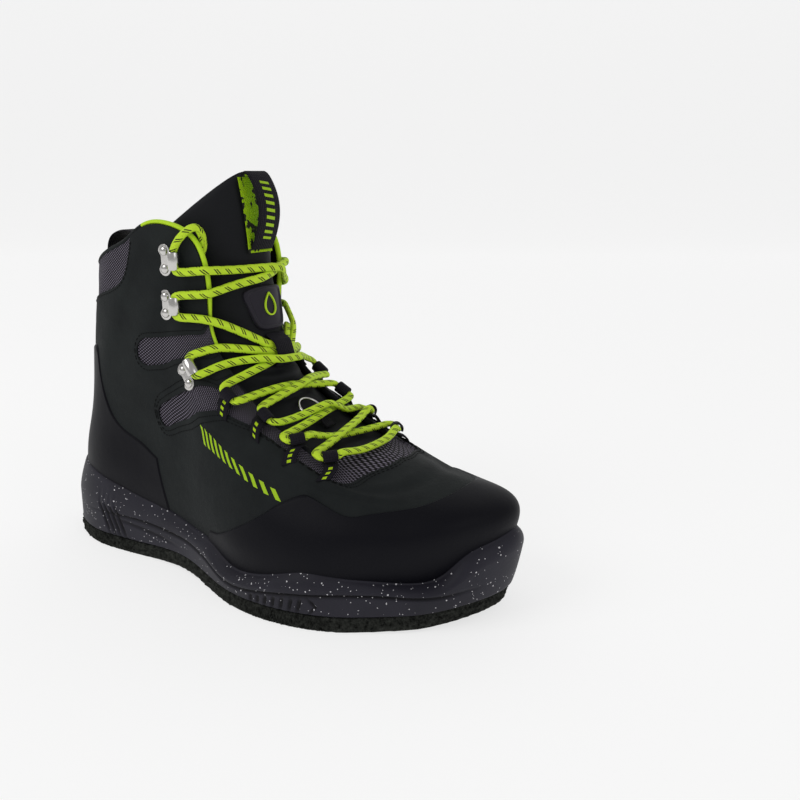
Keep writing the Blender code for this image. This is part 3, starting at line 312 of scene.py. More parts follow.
# %%
def smooth_values(values, at, closed=False):
    """Values of a cubic curve through equally spaced rows, at the given row numbers."""
    values = np.asarray(values, float)
    at = np.atleast_1d(np.asarray(at, float))
    count = len(values)
    second = np.zeros((count, count))
    bend = np.zeros((count, count))
    for row in range(count):
        if not closed and row in (0, count - 1):
            bend[row, row] = 1
            continue
        before, after = (row - 1) % count, (row + 1) % count
        bend[row, [before, row, after]] += (1 / 6, 4 / 6, 1 / 6)
        second[row, [before, row, after]] += (1, -2, 1)
    curve = np.linalg.solve(bend, second @ values.reshape(count, -1)).reshape(values.shape)
    if closed:
        low = np.floor(at).astype(int)
    else:
        low = np.clip(np.floor(at).astype(int), 0, count - 2)
    share = (at - low).reshape((-1,) + (1,) * (values.ndim - 1))
    here, there = low % count, (low + 1) % count
    rest = 1 - share
    flat = rest * values[here] + share * values[there]
    return flat + ((rest**3 - rest) * curve[here] + (share**3 - share) * curve[there]) / 6


def fold(station):
    """Station on the lateral side that a station lies at or mirrors."""
    return TOE - np.abs(TOE - np.mod(station, RIBS))


def table_at(table, column, station):
    """Value of a column at stations, from rows that start with their station."""
    rows = np.array(table)
    return np.interp(np.atleast_1d(fold(np.asarray(station, float))), rows[:, 0], rows[:, column])


def along_table(table, along):
    """Value at a place along the foot from a table of (share along, value) rows, joined smoothly."""
    rows = np.array(table)
    dense = np.linspace(0, len(rows) - 1, 200)
    places = smooth_values(rows[:, 0], dense)
    return np.interp(along, places, smooth_values(rows[:, 1], dense))


def x_of(along):
    return np.asarray(along) * SOLE_LENGTH - HEEL_REACH


def along_of(x):
    return (np.asarray(x) + HEEL_REACH) / SOLE_LENGTH


def round_the_foot(table):
    """The rows of a section table as a closed ring: heel, lateral side, toe, medial side."""
    rows = np.array(table)
    lateral = np.column_stack([x_of(rows[:, 0]), -rows[:, 1] * BALL_WIDTH])
    medial = np.column_stack([x_of(rows[:, 0]), rows[:, 2] * BALL_WIDTH])[-2:0:-1]
    ring = np.vstack([lateral, medial])
    if rows.shape[1] == 3:
        return ring
    up = rows[:, 3] * SHAFT_HEIGHT
    return np.column_stack([ring, np.concatenate([up, up[-2:0:-1]])])

# %%
OUTLINE_RING = round_the_foot(OUTLINE)

def outline(station, out=0.0):
    """Points of the ground outline at stations round the foot, moved outwards in plan."""
    station = np.atleast_1d(np.asarray(station, float))
    step = 0.02
    points = smooth_values(OUTLINE_RING, station, closed=True)
    run = smooth_values(OUTLINE_RING, station + step, closed=True)
    run = run - smooth_values(OUTLINE_RING, station - step, closed=True)
    normal = np.column_stack([run[:, 1], -run[:, 0]]) / np.linalg.norm(run, axis=1)[:, None]
    return points + normal * np.reshape(out, (-1, 1))


def ground(along):
    """Height of the ground face: flat under the heel and the ball, raised at the arch and the toe."""
    rows = np.array(GROUND)
    row = np.interp(along, rows[:, 0], np.arange(len(rows)))
    low = np.minimum(np.floor(row).astype(int), len(rows) - 2)
    share = row - low
    ease = share * share * (3 - 2 * share)
    return TOE_SPRING * (rows[low, 1] + (rows[low + 1, 1] - rows[low, 1]) * ease)


def bed_height(x):
    return FELT_THICK + BED_THICK * along_table(FOOTBED, along_of(x))


def feather_ring():
    ring = outline(np.arange(RIBS), -FEATHER_INSET)
    return np.column_stack([ring, bed_height(ring[:, 0])])

SKIN_ROWS = np.stack(
    [feather_ring()] + [round_the_foot(t) for t in (RAND_LINE, ANKLE_LINE, INSTEP_LINE, OPENING_EDGE)],
    axis=1,
)

def skin_points(station, level):
    """Points of the upper's outer face, for stations and levels of equal number."""
    rows = smooth_values(SKIN_ROWS, station, closed=True)
    weights = smooth_values(np.eye(LEVELS + 1), level)
    return np.einsum("nk,nkd->nd", weights, rows)


def skin(station, level, out=0.0):
    """Points of the upper's outer face, moved outwards along its normal."""
    station, level = np.broadcast_arrays(np.atleast_1d(station), np.atleast_1d(level))
    station, level = station.astype(float), level.astype(float)
    step = 0.01
    round_way = skin_points(station + step, level) - skin_points(station - step, level)
    up_way = skin_points(station, level + step) - skin_points(station, level - step)
    normal = np.cross(round_way, up_way)
    normal /= np.linalg.norm(normal, axis=1)[:, None]
    return skin_points(station, level) + normal * np.reshape(out, (-1, 1))


def level_at(station, up):
    """Level at which the upper's face reaches a height, for each station."""
    levels = np.linspace(0, 2.4, 61)
    found = []
    for at, height in zip(station, np.broadcast_to(up, np.shape(station))):
        heights = skin_points(np.full(levels.shape, at), levels)[:, 2]
        found.append(np.interp(height, heights, levels))
    return np.array(found)


def edge_frame(station):
    """Points of the opening edge, the way in the face up to it and square to it, and the outward normal."""
    here = skin_points(station, station * 0 + LEVELS)
    top = station * 0 + LEVELS
    along = skin_points(station + 0.05, top) - skin_points(station - 0.05, top)
    along /= np.linalg.norm(along, axis=1)[:, None]
    run = (here - skin_points(station, station * 0 + LEVELS - 0.1)) / 0.1
    up = run - along * np.sum(run * along, axis=1)[:, None]
    up /= np.linalg.norm(up, axis=1)[:, None]
    return here, up, np.cross(along, up)

# %%
def sidewall_height(column, station):
    return FELT_THICK + table_at(SIDEWALL, column, station) * SIDEWALL_HEIGHT


def tongue_points(share, across):
    """Points of the tongue's front face: share of the way up, and from -1 lateral to 1 medial."""
    rows = smooth_values(np.array(TONGUE), share * (len(TONGUE) - 1))
    bend = np.abs(across) ** rows[:, 5]
    x = rows[:, 0] + (rows[:, 2] - rows[:, 0]) * bend
    z = rows[:, 1] + (rows[:, 3] - rows[:, 1]) * bend
    return np.column_stack([x_of(x), across * rows[:, 4] * BALL_WIDTH, z * SHAFT_HEIGHT])


def tongue_face(share, across, out=0.0):
    """Points of the tongue's front face, moved outwards along its normal."""
    share, across = np.broadcast_arrays(np.atleast_1d(share), np.atleast_1d(across))
    share, across = share.astype(float), across.astype(float)
    step = 0.005
    up_way = tongue_points(share + step, across) - tongue_points(share - step, across)
    cross_way = tongue_points(share, across + step) - tongue_points(share, across - step)
    normal = np.cross(cross_way, up_way)
    normal /= np.linalg.norm(normal, axis=1)[:, None]
    return tongue_points(share, across) + normal * np.reshape(out, (-1, 1))

# %% [markdown]
# ## Small tools
# A grid primitive is bent by moving its points. Tubes and straps are rings bridged one to the next, which is
# what Bridge Edge Loops does. Each piece keeps its place in its mesh and rides on the part.
# The same tools make every piece, so a learner has to follow them only once.

# %%
def new_grid(name, columns, rows):
    """A grid primitive whose points run from 0 to 1 both ways."""
    bpy.ops.object.select_all(action="DESELECT")
    bpy.ops.mesh.primitive_grid_add(x_subdivisions=columns, y_subdivisions=rows, size=1)
    made = bpy.context.object
    made.name = made.data.name = name
    move_points(made, points_of(made) + [0.5, 0.5, 0])
    return made


def points_of(obj):
    flat = np.empty(len(obj.data.vertices) * 3)
    obj.data.vertices.foreach_get("co", flat)
    return flat.reshape(-1, 3)


def move_points(obj, points):
    obj.data.vertices.foreach_set("co", np.asarray(points, float).ravel())
    obj.data.update()


def set_uv(obj, per_point):
    """Gives the piece a UV map in metres, so that weaves and flecks keep their real size."""
    layer = obj.data.uv_layers[0] if obj.data.uv_layers else obj.data.uv_layers.new(name="pattern")
    corners = np.empty(len(obj.data.loops), int)
    obj.data.loops.foreach_get("vertex_index", corners)
    layer.data.foreach_set("uv", np.asarray(per_point, float)[corners].ravel())


# %%
def only(obj):
    """Selects one object alone and makes it active, so that an operator works on nothing else."""
    bpy.ops.object.select_all(action="DESELECT")
    obj.select_set(True)
    bpy.context.view_layer.objects.active = obj


def in_edit(obj, *steps):
    """Runs mesh operators on all of one object's points."""
    only(obj)
    bpy.ops.object.mode_set(mode="EDIT")
    bpy.ops.mesh.select_all(action="SELECT")
    for step in steps:
        step()
    bpy.ops.object.mode_set(mode="OBJECT")


def weld():
    bpy.ops.mesh.remove_doubles(threshold=0.00001)


def turn_out():
    bpy.ops.mesh.normals_make_consistent(inside=False)


def bridged(name, sections, closed=False):
    """Rings of points bridged one to the next, with closed ends unless the last ring joins the first."""
    sections = np.asarray(sections, float)
    count, size = sections.shape[:2]
    faces = []
    for i in range(count if closed else count - 1):
        a, b = i * size, (i + 1) % count * size
        faces += [(a + j, a + (j + 1) % size, b + (j + 1) % size, b + j) for j in range(size)]
    if not closed:
        faces += [tuple(range(size))[::-1], tuple((count - 1) * size + j for j in range(size))]
    mesh = bpy.data.meshes.new(name)
    mesh.from_pydata(sections.reshape(-1, 3).tolist(), [], faces)
    made = bpy.data.objects.new(name, mesh)
    bpy.context.scene.collection.objects.link(made)
    middle = sections.mean(axis=1)
    run = np.concatenate([[0], np.cumsum(np.linalg.norm(np.diff(middle, axis=0), axis=1))])
    round_way = np.linalg.norm(np.roll(sections, -1, axis=1) - sections, axis=2).mean(axis=0)
    across = np.concatenate([[0], np.cumsum(round_way)[:-1]])
    set_uv(made, np.stack(np.meshgrid(across, run), axis=2).reshape(-1, 2))
    in_edit(made, turn_out)
    return made


# %%
def dress(obj, finishes, slot, *nodes, angle=40):
    """Materials, smooth shading, and what the piece is to the part."""
    obj.data.materials.clear()
    for finish in finishes if isinstance(finishes, (list, tuple)) else [finishes]:
        obj.data.materials.append(finish)
    only(obj)
    bpy.ops.object.shade_smooth_by_angle(angle=math.radians(angle))
    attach(obj, "root")
    if nodes:
        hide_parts(*nodes)
    print(obj.name, len(obj.data.polygons), "faces")
    return obj


def joined(name, pieces):
    """One object of several, as Ctrl+J makes it."""
    bpy.ops.object.select_all(action="DESELECT")
    for piece in pieces:
        piece.select_set(True)
    bpy.context.view_layer.objects.active = pieces[0]
    bpy.ops.object.join()
    pieces[0].name = pieces[0].data.name = name
    return pieces[0]


# %% [markdown]
# ## Materials
# The colours follow the photo. Grain, nap and weave are bumps, since they are finer than a pixel; only what
# is seen from a step away is modelled.

# %%
def linear(*colour):
    """A colour given from 0 to 255, in the linear values that Blender keeps."""
    shares = [c / 255 for c in colour]
    return [c / 12.92 if c <= 0.04045 else ((c + 0.055) / 1.055) ** 2.4 for c in shares] + [1.0]


class Finish:
    """A Principled material and short ways to add nodes to it."""

    def __init__(self, name, colour, roughness, metallic=0.0, gloss=0.5):
        self.material = bpy.data.materials.new(name)
        self.material.use_nodes = True
        self.nodes = self.material.node_tree.nodes
        self.links = self.material.node_tree.links
        self.shader = self.nodes["Principled BSDF"]
        self.shader.inputs["Base Color"].default_value = linear(*colour)
        self.shader.inputs["Roughness"].default_value = roughness
        self.shader.inputs["Metallic"].default_value = metallic
        self.shader.inputs["Specular IOR Level"].default_value = gloss

    def node(self, kind, inputs=(), **settings):
        made = self.nodes.new(kind)
        for key, value in settings.items():
            setattr(made, key, value)
        for key, value in dict(inputs).items():
            self.feed(made.inputs[key], value)
        return made

    def feed(self, socket, value):
        if isinstance(value, bpy.types.NodeSocket):
            self.links.new(value, socket)
        else:
            socket.default_value = value

    def math(self, operation, first, second=0.0, third=0.5):
        return self.node("ShaderNodeMath", {0: first, 1: second, 2: third}, operation=operation).outputs[0]

    def place(self):
        return self.node("ShaderNodeTexCoord").outputs["Object"]

    def uv(self):
        """The two metre coordinates of the piece's own UV map: across and along."""
        split = self.node("ShaderNodeSeparateXYZ", {0: self.node("ShaderNodeTexCoord").outputs["UV"]})
        return split.outputs[0], split.outputs[1]

    def noise(self, scale, detail=2.0, rough=0.5):
        inputs = {"Vector": self.place(), "Scale": scale, "Detail": detail, "Roughness": rough}
        return self.node("ShaderNodeTexNoise", inputs).outputs["Fac"]

    def ramp(self, value, low, high):
        """Value stretched so that low becomes 0 and high becomes 1."""
        inputs = {"Value": value, "From Min": low, "From Max": high}
        return self.node("ShaderNodeMapRange", inputs).outputs[0]

    def mix(self, share, first, second):
        inputs = {0: share, 6: first, 7: second}
        return self.node("ShaderNodeMix", inputs, data_type="RGBA").outputs[2]

    def paint(self, colour):
        self.feed(self.shader.inputs["Base Color"], colour)

    def bump(self, height, strength, distance):
        inputs = {"Height": height, "Strength": strength, "Distance": distance}
        if self.shader.inputs["Normal"].links:
            inputs["Normal"] = self.shader.inputs["Normal"].links[0].from_socket
        self.feed(self.shader.inputs["Normal"], self.node("ShaderNodeBump", inputs).outputs[0])


# %%
nubuck = Finish("nubuck", (32, 35, 36), 0.72, gloss=0.10)
patches = nubuck.ramp(nubuck.noise(38, 4, 0.6), 0.3, 0.75)
nubuck.paint(nubuck.mix(patches, linear(23, 26, 27), linear(32, 36, 36)))
nubuck.bump(nubuck.noise(1500, 3, 0.7), 0.35, 0.0004)
nubuck.bump(nubuck.noise(160, 3, 0.6), 0.25, 0.0012)
nubuck.shader.inputs["Sheen Weight"].default_value = 0.02
nubuck.shader.inputs["Sheen Roughness"].default_value = 0.6

# %%
rubber = Finish("rand_rubber", (12, 12, 18), 0.5, gloss=0.10)
rubber.bump(rubber.noise(900, 2, 0.6), 0.2, 0.0003)
rubber.bump(rubber.noise(60, 2), 0.2, 0.0015)

lining = Finish("dark_lining", (26, 27, 28), 0.9, gloss=0.1)
lining.bump(lining.noise(700, 3, 0.7), 0.6, 0.0006)

shell = Finish("tongue_shell", (24, 25, 28), 0.6, gloss=0.12)
shell.bump(shell.noise(1200, 2), 0.3, 0.0003)
shell.bump(shell.noise(90, 3), 0.3, 0.0012)

# %%
# Ballistic mesh: light threads show as staggered dots over a black ground. Metres of one weave repeat.
WEAVE_UP, WEAVE_ROUND = 0.0021, 0.0027
mesh_cloth = Finish("ballistic_mesh", (30, 27, 33), 0.75, gloss=0.15)
across, along = mesh_cloth.uv()
row_turn = mesh_cloth.math("MULTIPLY", along, 2 * math.pi / WEAVE_UP)
column_turn = mesh_cloth.math("MULTIPLY", across, 2 * math.pi / WEAVE_ROUND)
threads = mesh_cloth.math(
    "MULTIPLY", mesh_cloth.math("SINE", row_turn), mesh_cloth.math("SINE", column_turn)
)
dots = mesh_cloth.ramp(threads, 0.1, 0.45)
mesh_cloth.paint(mesh_cloth.mix(dots, linear(12, 10, 14), linear(118, 112, 126)))
mesh_cloth.bump(threads, 0.5, 0.0004)

# %%
# Midsole rubber: charcoal with pale specks of several sizes, a fine moulded grain, and painted shade in its
# grooves and ribs.
midsole_rubber = Finish("midsole_rubber", (35, 33, 42), 0.55, gloss=0.18)
# (cells per metre, size as a share of the cell, share of the cells without a speck)
SPECKS = ((250, 0.11, 0.45), (430, 0.13, 0.55), (140, 0.08, 0.6))
specks = None
for cells, size, share in SPECKS:
    inputs = {"Vector": midsole_rubber.place(), "Scale": cells}
    spot = midsole_rubber.node("ShaderNodeTexVoronoi", inputs)
    chance = midsole_rubber.node("ShaderNodeSeparateColor", {0: spot.outputs["Color"]}).outputs[0]
    ragged = midsole_rubber.math("MULTIPLY", midsole_rubber.noise(1400), 0.16)
    edge = midsole_rubber.math("ADD", spot.outputs["Distance"], ragged)
    near = midsole_rubber.math("LESS_THAN", edge, size + 0.08)
    here = midsole_rubber.math("MULTIPLY", near, midsole_rubber.math("GREATER_THAN", chance, share))
    specks = here if specks is None else midsole_rubber.math("MAXIMUM", specks, here)
tone = midsole_rubber.ramp(midsole_rubber.noise(30, 3), 0.3, 0.7)
ground_tone = midsole_rubber.mix(tone, linear(30, 29, 37), linear(40, 39, 48))
# Painted shade: where the "cut" attribute marks grooves and ribs, the rubber is painted nearly black.
cut = midsole_rubber.node("ShaderNodeAttribute", attribute_name="cut").outputs["Fac"]
ground_tone = midsole_rubber.mix(cut, ground_tone, linear(11, 10, 14))
midsole_rubber.paint(midsole_rubber.mix(specks, ground_tone, linear(196, 194, 198)))
midsole_rubber.bump(midsole_rubber.noise(700, 3), 0.25, 0.0004)

felt = Finish("felt", (25, 27, 26), 0.95, gloss=0.05)
fibres = felt.ramp(felt.noise(420, 5, 0.75), 0.35, 0.7)
felt.paint(felt.mix(fibres, linear(14, 15, 14), linear(62, 64, 60)))
felt.bump(felt.noise(420, 5, 0.8), 1.0, 0.0014)

# %%
lime = Finish("lime_trim", (190, 228, 44), 0.6, gloss=0.2)
lime.bump(lime.noise(1500, 2), 0.3, 0.0003)

print_lime = Finish("lime_print", (160, 198, 24), 0.55, gloss=0.2)

thread = Finish("stitch_thread", (12, 13, 13), 0.7, gloss=0.1)

# %%
steel = Finish("steel", (205, 203, 200), 0.22, 1.0)
steel.bump(steel.noise(500, 2), 0.05, 0.0002)


def webbing(name, colour, fleck=None):
    """Woven tape: fine ribs across and along, with coloured flecks on one kind."""
    made = Finish(name, colour, 0.7, gloss=0.15)
    across, along = made.uv()
    ribs = made.math("SINE", made.math("MULTIPLY", along, 2 * math.pi / 0.0011))
    cords = made.math("SINE", made.math("MULTIPLY", across, 2 * math.pi / 0.0016))
    made.bump(made.math("ADD", ribs, cords), 0.5, 0.0003)
    if fleck:
        spots = made.ramp(made.noise(230, 2), 0.56, 0.6)
        made.paint(made.mix(spots, linear(*colour), linear(*fleck)))
    return made


black_webbing = webbing("black_webbing", (22, 20, 27))
lime_webbing = webbing("lime_webbing", (165, 205, 20), (40, 40, 36))

# %% [markdown]
# The lace's flecks come in pairs of short dark dashes that climb round it. Its UV map runs round it and
# along it in metres, so the pairs keep their step wherever the lace bends.

# %%
# Metres from one pair of flecks to the next, and the half width of a fleck as a share of that
FLECK_STEP, FLECK_HALF = 0.0072, 0.058
lace_cloth = Finish("lace_cord", (202, 236, 52), 0.62, gloss=0.25)
across, along = lace_cloth.uv()
climb = lace_cloth.math("ADD", along, lace_cloth.math("MULTIPLY", across, 0.9))
step = lace_cloth.math("FRACT", lace_cloth.math("DIVIDE", climb, FLECK_STEP))
first = lace_cloth.math("COMPARE", step, 0.32, FLECK_HALF)
second = lace_cloth.math("COMPARE", step, 0.54, FLECK_HALF)
bars = lace_cloth.math("MAXIMUM", first, second)
cell = lace_cloth.math("FRACT", lace_cloth.math("DIVIDE", across, 0.0050))
broken = lace_cloth.math("COMPARE", cell, 0.5, 0.33)
flecks = lace_cloth.math("MULTIPLY", bars, broken)
lace_cloth.paint(lace_cloth.mix(flecks, linear(202, 236, 52), linear(20, 23, 18)))
left = lace_cloth.math("SINE", lace_cloth.math("MULTIPLY", climb, 2 * math.pi / 0.0012))
other = lace_cloth.math("SUBTRACT", along, lace_cloth.math("MULTIPLY", across, 0.55))
right = lace_cloth.math("SINE", lace_cloth.math("MULTIPLY", other, 2 * math.pi / 0.0012))
lace_cloth.bump(lace_cloth.math("MAXIMUM", left, right), 0.5, 0.0003)

# %%
# Black tape with a row of lime squares down its middle, for the lace loops: their step, half size and end.
SQUARE_STEP, SQUARE_HALF, SQUARES_END = 0.0034, 0.0012, 0.0105
dotted = webbing("dotted_webbing", (22, 20, 28))
across, along = dotted.uv()
beat = dotted.math("COMPARE", dotted.math("FRACT", dotted.math("DIVIDE", along, SQUARE_STEP)), 0.5, 0.26)
middle = dotted.math("COMPARE", across, LOOP_WIDTH / 2, SQUARE_HALF)
early = dotted.math("LESS_THAN", along, SQUARES_END)
squares = dotted.math("MULTIPLY", dotted.math("MULTIPLY", beat, middle), early)
dotted.paint(dotted.mix(squares, linear(22, 20, 28), linear(180, 214, 30)))

# %% [markdown]
# ## Felt and midsole
# Both are rings round the foot. The felt's side is roughened point by point; the midsole's wall gets its
# groove, its slanted ribs and the arrow-shaped end line as shallow steps in the same grid.

# %%
# Columns for each station, denser where the wall has ribs
PLAIN, AT_FOREFOOT_RIBS, AT_HEEL_RIBS = 14, 70, 60
half_way = np.linspace(0, TOE, 1301)
density = np.full(1301, PLAIN)
density[(half_way > 7.5) & (half_way < 9.45)] = AT_FOREFOOT_RIBS
density[(half_way > 3.0) & (half_way < 4.1)] = AT_HEEL_RIBS
counted = np.concatenate([[0], np.cumsum(density[:-1] * TOE / 1300)])
half_way = np.interp(np.linspace(0, counted[-1], int(counted[-1])), counted, half_way)
AROUND = np.concatenate([half_way, RIBS - half_way[-2:0:-1]])
SOLE_FINE = len(AROUND)
rough = np.random.default_rng(7)


def ring_piece(name, rings):
    """Rings round the foot joined into one closed piece, like a stack of bridged loops with filled ends."""
    rings = np.asarray(rings)
    count, size = rings.shape[:2]
    faces = []
    for i in range(count - 1):
        a, b = i * size, (i + 1) * size
        faces += [(a + j, a + (j + 1) % size, b + (j + 1) % size, b + j) for j in range(size)]
    for start in (0, (count - 1) * size):
        faces += [(start, start + 1, start + size - 1)]
        faces += [
            (start + j, start + j + 1, start + size - j - 1, start + size - j)
            for j in range(1, size // 2 - 1)
        ]
        faces += [(start + size // 2 - 1, start + size // 2, start + size // 2 + 1)]
    mesh = bpy.data.meshes.new(name)
    mesh.from_pydata(rings.reshape(-1, 3).tolist(), [], faces)
    made = bpy.data.objects.new(name, mesh)
    bpy.context.scene.collection.objects.link(made)
    in_edit(made, turn_out)
    return made


# %%
# The felt: nine rings from the ground up, each point moved a little, and both edges rounded.
FUZZ, FUZZ_UP, FELT_ROUND = 0.00035, 0.0003, 0.0009
rings = []
for share in np.linspace(0, 1, 9):
    fuzz = rough.normal(0, FUZZ, SOLE_FINE) * (0.5 if share in (0, 1) else 1)
    edge = FELT_ROUND * (math.sin(math.pi * share) ** 0.3 - 1)
    plan = outline(AROUND, FELT_SPREAD * share + edge + fuzz)
    height = ground(along_of(plan[:, 0])) + (FELT_THICK - 0.0002) * share
    if 0 < share < 1:
        height = height + rough.normal(0, FUZZ_UP, SOLE_FINE)
    rings.append(np.column_stack([plan, np.maximum(height, 0.0002 if share else 0)]))
dress(ring_piece("felt_sole", rings), felt.material, "felt", "felt_outsole", angle=60)

# %%
def eased(column, station):
    """A wall height from the table, eased over a quarter of a station so that no row shows as a kink."""
    spread = np.linspace(-0.35, 0.35, 9)
    weights = np.cos(spread / 0.35 * math.pi / 2) + 0.05
    rows = [table_at(SIDEWALL, column, station + s) for s in spread]
    return np.average(rows, axis=0, weights=weights)


def bar_of(value, half):
    """1 in the middle of a band, falling to 0 at 1.6 times its half width."""
    return np.clip(1.6 - np.abs(value) / half, 0, 1)


# Depths of the ribs, of the end arrow and of the fine line, in metres
RIB_CUT, ARROW_CUT, LINE_CUT = 0.0011, 0.0010, 0.0007


def ribs_at(station, up):
    """How deep the wall is cut by ribs, grooves and lines at each point, in metres."""
    station = fold(station)
    depth = 0.0
    low, high = FELT_THICK + 0.0004, sidewall_height(2, station) - 0.0012
    inside = bar_of((up - (low + high) / 2) / (high - low), 0.36)
    for rib in FOREFOOT_RIBS:
        lean = (up - (low + high) / 2) * 9.0
        depth = np.maximum(depth, RIB_CUT * inside * bar_of(station - rib - lean, 0.030))
    arrow = 9.2 - np.abs(up - (low + high) / 2) * 26
    depth = np.maximum(depth, ARROW_CUT * inside * bar_of(station - arrow, 0.028))
    back = bar_of((up - 0.021) / 0.022, 0.40)
    for rib in HEEL_RIBS:
        lean = (0.021 - up) * 14.0
        depth = np.maximum(depth, ARROW_CUT * back * bar_of(station - rib - lean, 0.034))
    line = 0.0172 + (5.0 - station) * 0.0036
    reach = bar_of((station - 4.4) / 1.6, 0.4)
    return np.maximum(depth, LINE_CUT * reach * bar_of(up - line, 0.0009))


# %%
lip_up = FELT_THICK + eased(1, AROUND) * SIDEWALL_HEIGHT
groove_up = FELT_THICK + eased(2, AROUND) * SIDEWALL_HEIGHT
groove_deep = eased(3, AROUND) * GROOVE_DEPTH
flare = eased(4, AROUND) * TOE_BUMPER
widest_up = FELT_THICK + eased(5, AROUND) * SIDEWALL_HEIGHT
lip_level = level_at(AROUND, lip_up)
base = ground(along_of(outline(AROUND)[:, 0])) + FELT_THICK

# %%
# The wall from the felt to its widest place, cut by the groove and the ribs
WALL_TOP, LIP_SHARE, FOOT_ROUND = 0.86, 0.75, 0.0012
rings, painted_groove_shade = [], []
for share in np.linspace(0, 1, 44):
    up = base + (widest_up - base) * share * WALL_TOP
    climb = np.clip((up - FELT_THICK) / (widest_up - FELT_THICK), 0, 1) ** 0.6
    seam = np.exp(-(((up - groove_up) / GROOVE_HALF_WIDTH) ** 2) * 2.5)
    notch = ribs_at(AROUND, up)
    out = flare * climb - groove_deep * seam - notch - FOOT_ROUND * (1 - min(1, share / 0.06)) ** 2
    # Painted shade: how far each point lies in a groove or rib, which darkens the rubber's colour there.
    painted_groove_shade.append(np.clip(notch / RIB_CUT + seam * groove_deep / GROOVE_DEPTH, 0, 1))
    rings.append(np.column_stack([outline(AROUND, out), up]))

# %%
# From there a bend leads up to the lip, which is rounded and tucked in behind the upper
lip_ring = skin(AROUND, lip_level, CLEAR + LIP_SHARE * LIP_THICK)
widest = rings[-1]
bend = np.column_stack([outline(AROUND, flare + 0.0006), widest_up]) * 0.8 + lip_ring * 0.2 + [0, 0, 0.0004]
for share in np.linspace(0, 1, 16)[1:]:
    rest = 1 - share
    rings.append(rest * rest * widest + 2 * rest * share * bend + share * share * lip_ring)
for turn in np.linspace(0, 1, 7)[1:]:
    out = CLEAR + LIP_SHARE * LIP_THICK * math.cos(turn * math.pi / 2) ** 0.7 - 0.0006 * turn
    rim = skin(AROUND, lip_level, out)
    rings.append(rim + [0, 0, 0.0010 * math.sin(turn * math.pi / 2)])
rings.append(skin(AROUND, lip_level * 0.4, -0.0010))
cup = ring_piece("cup_midsole", rings)
# The attribute "cut" is 1 in the grooves and ribs, where shade is painted into the rubber's colour.
shade = cup.data.attributes.new("cut", "FLOAT", "POINT")
uncut = np.zeros(len(cup.data.vertices) - len(painted_groove_shade) * SOLE_FINE)
shade.data.foreach_set("value", np.concatenate(painted_groove_shade + [uncut]))
dress(cup, midsole_rubber.material, "midsole_rubber", "midsole", angle=50)

# %% [markdown]
# ## Upper: mesh layer and lining
# The base cloth is one grid over the whole last, given its wall with Solidify. The inner face is the lining.

# %%
def lengths(step=0.1):
    """Metres round the foot and up the wall at every station and level, for the UV maps."""
    stations = np.arange(0, RIBS + step / 2, step)
    levels = np.arange(0, LEVELS + step / 2, step)
    grid_s, grid_l = np.meshgrid(stations, levels, indexing="ij")
    face = skin_points(grid_s.ravel(), grid_l.ravel()).reshape(len(stations), len(levels), 3)
    round_way = np.linalg.norm(np.diff(face, axis=0), axis=2)
    up_way = np.linalg.norm(np.diff(face, axis=1), axis=2)
    zero_s, zero_l = np.zeros((1, len(levels))), np.zeros((len(stations), 1))
    round_run = np.concatenate([zero_s, np.cumsum(round_way, axis=0)])
    return round_run, np.concatenate([zero_l, np.cumsum(up_way, axis=1)], axis=1)


ROUND_RUN, UP_RUN = lengths()


def metres(station, level):
    """UV of places on the upper: metres round the foot from the toe, and metres up the wall."""
    s = np.clip(np.asarray(station) / 0.1, 0, ROUND_RUN.shape[0] - 1.001)
    v = np.clip(np.asarray(level) / 0.1, 0, ROUND_RUN.shape[1] - 1.001)
    i, j = s.astype(int), v.astype(int)
    a, b = (s - i), (v - j)
    found = []
    for table in (ROUND_RUN - ROUND_RUN[int(TOE / 0.1)], UP_RUN):
        low = table[i, j] * (1 - a) + table[i + 1, j] * a
        high = table[i, j + 1] * (1 - a) + table[i + 1, j + 1] * a
        found.append(low * (1 - b) + high * b)
    return np.column_stack(found)


# %% [markdown]
# Leather is never quite even: long soft swells run over the panels, and the ankle has shallow folds. Each
# row of the fold table is one trough or ridge. Sculpting would give the same, but a table can
# be read and changed, and the stitches can follow it.

# %%
# (station, level, half length in stations, half width in levels, slant, depth in metres)
FOLDS = (
    (7.6, 2.55, 0.9, 0.05, 0.10, 0.0007),
    (8.4, 2.42, 0.8, 0.06, 0.16, 0.0009),
    (8.9, 2.15, 0.7, 0.07, 0.12, 0.0006),
    (10.6, 2.45, 0.7, 0.09, -0.10, 0.0008),
    (12.2, 2.75, 0.9, 0.10, 0.05, 0.0007),
    (5.2, 2.25, 0.9, 0.06, 0.04, 0.0005),
    (3.6, 2.9, 1.0, 0.07, -0.05, 0.0006),
    (5.8, 3.1, 0.8, 0.05, 0.10, 0.0004),
)


def give(station, level):
    """How far the upper swells or sinks at each place, in metres."""
    station, level = np.asarray(station, float), np.asarray(level, float)
    side = fold(station)
    swell = 0.00035 * np.sin(station * 1.7 + level * 2.3) * np.sin(level * 3.1 - station * 0.9)
    swell += 0.00025 * np.sin(station * 3.9 - level * 4.7 + 1.0)
    for at, up, long_way, wide, slant, depth in FOLDS:
        along, across = (side - at) / long_way, (level - up - slant * (side - at)) / wide
        swell -= depth * np.exp(-along**2 - across**2)
        swell += 0.7 * depth * np.exp(-along**2 - (across - 2.0) ** 2)
    calm = np.clip((LEVELS - level) / 0.3, 0, 1) * np.clip((level - 0.4) / 0.4, 0, 1)
    return swell * calm


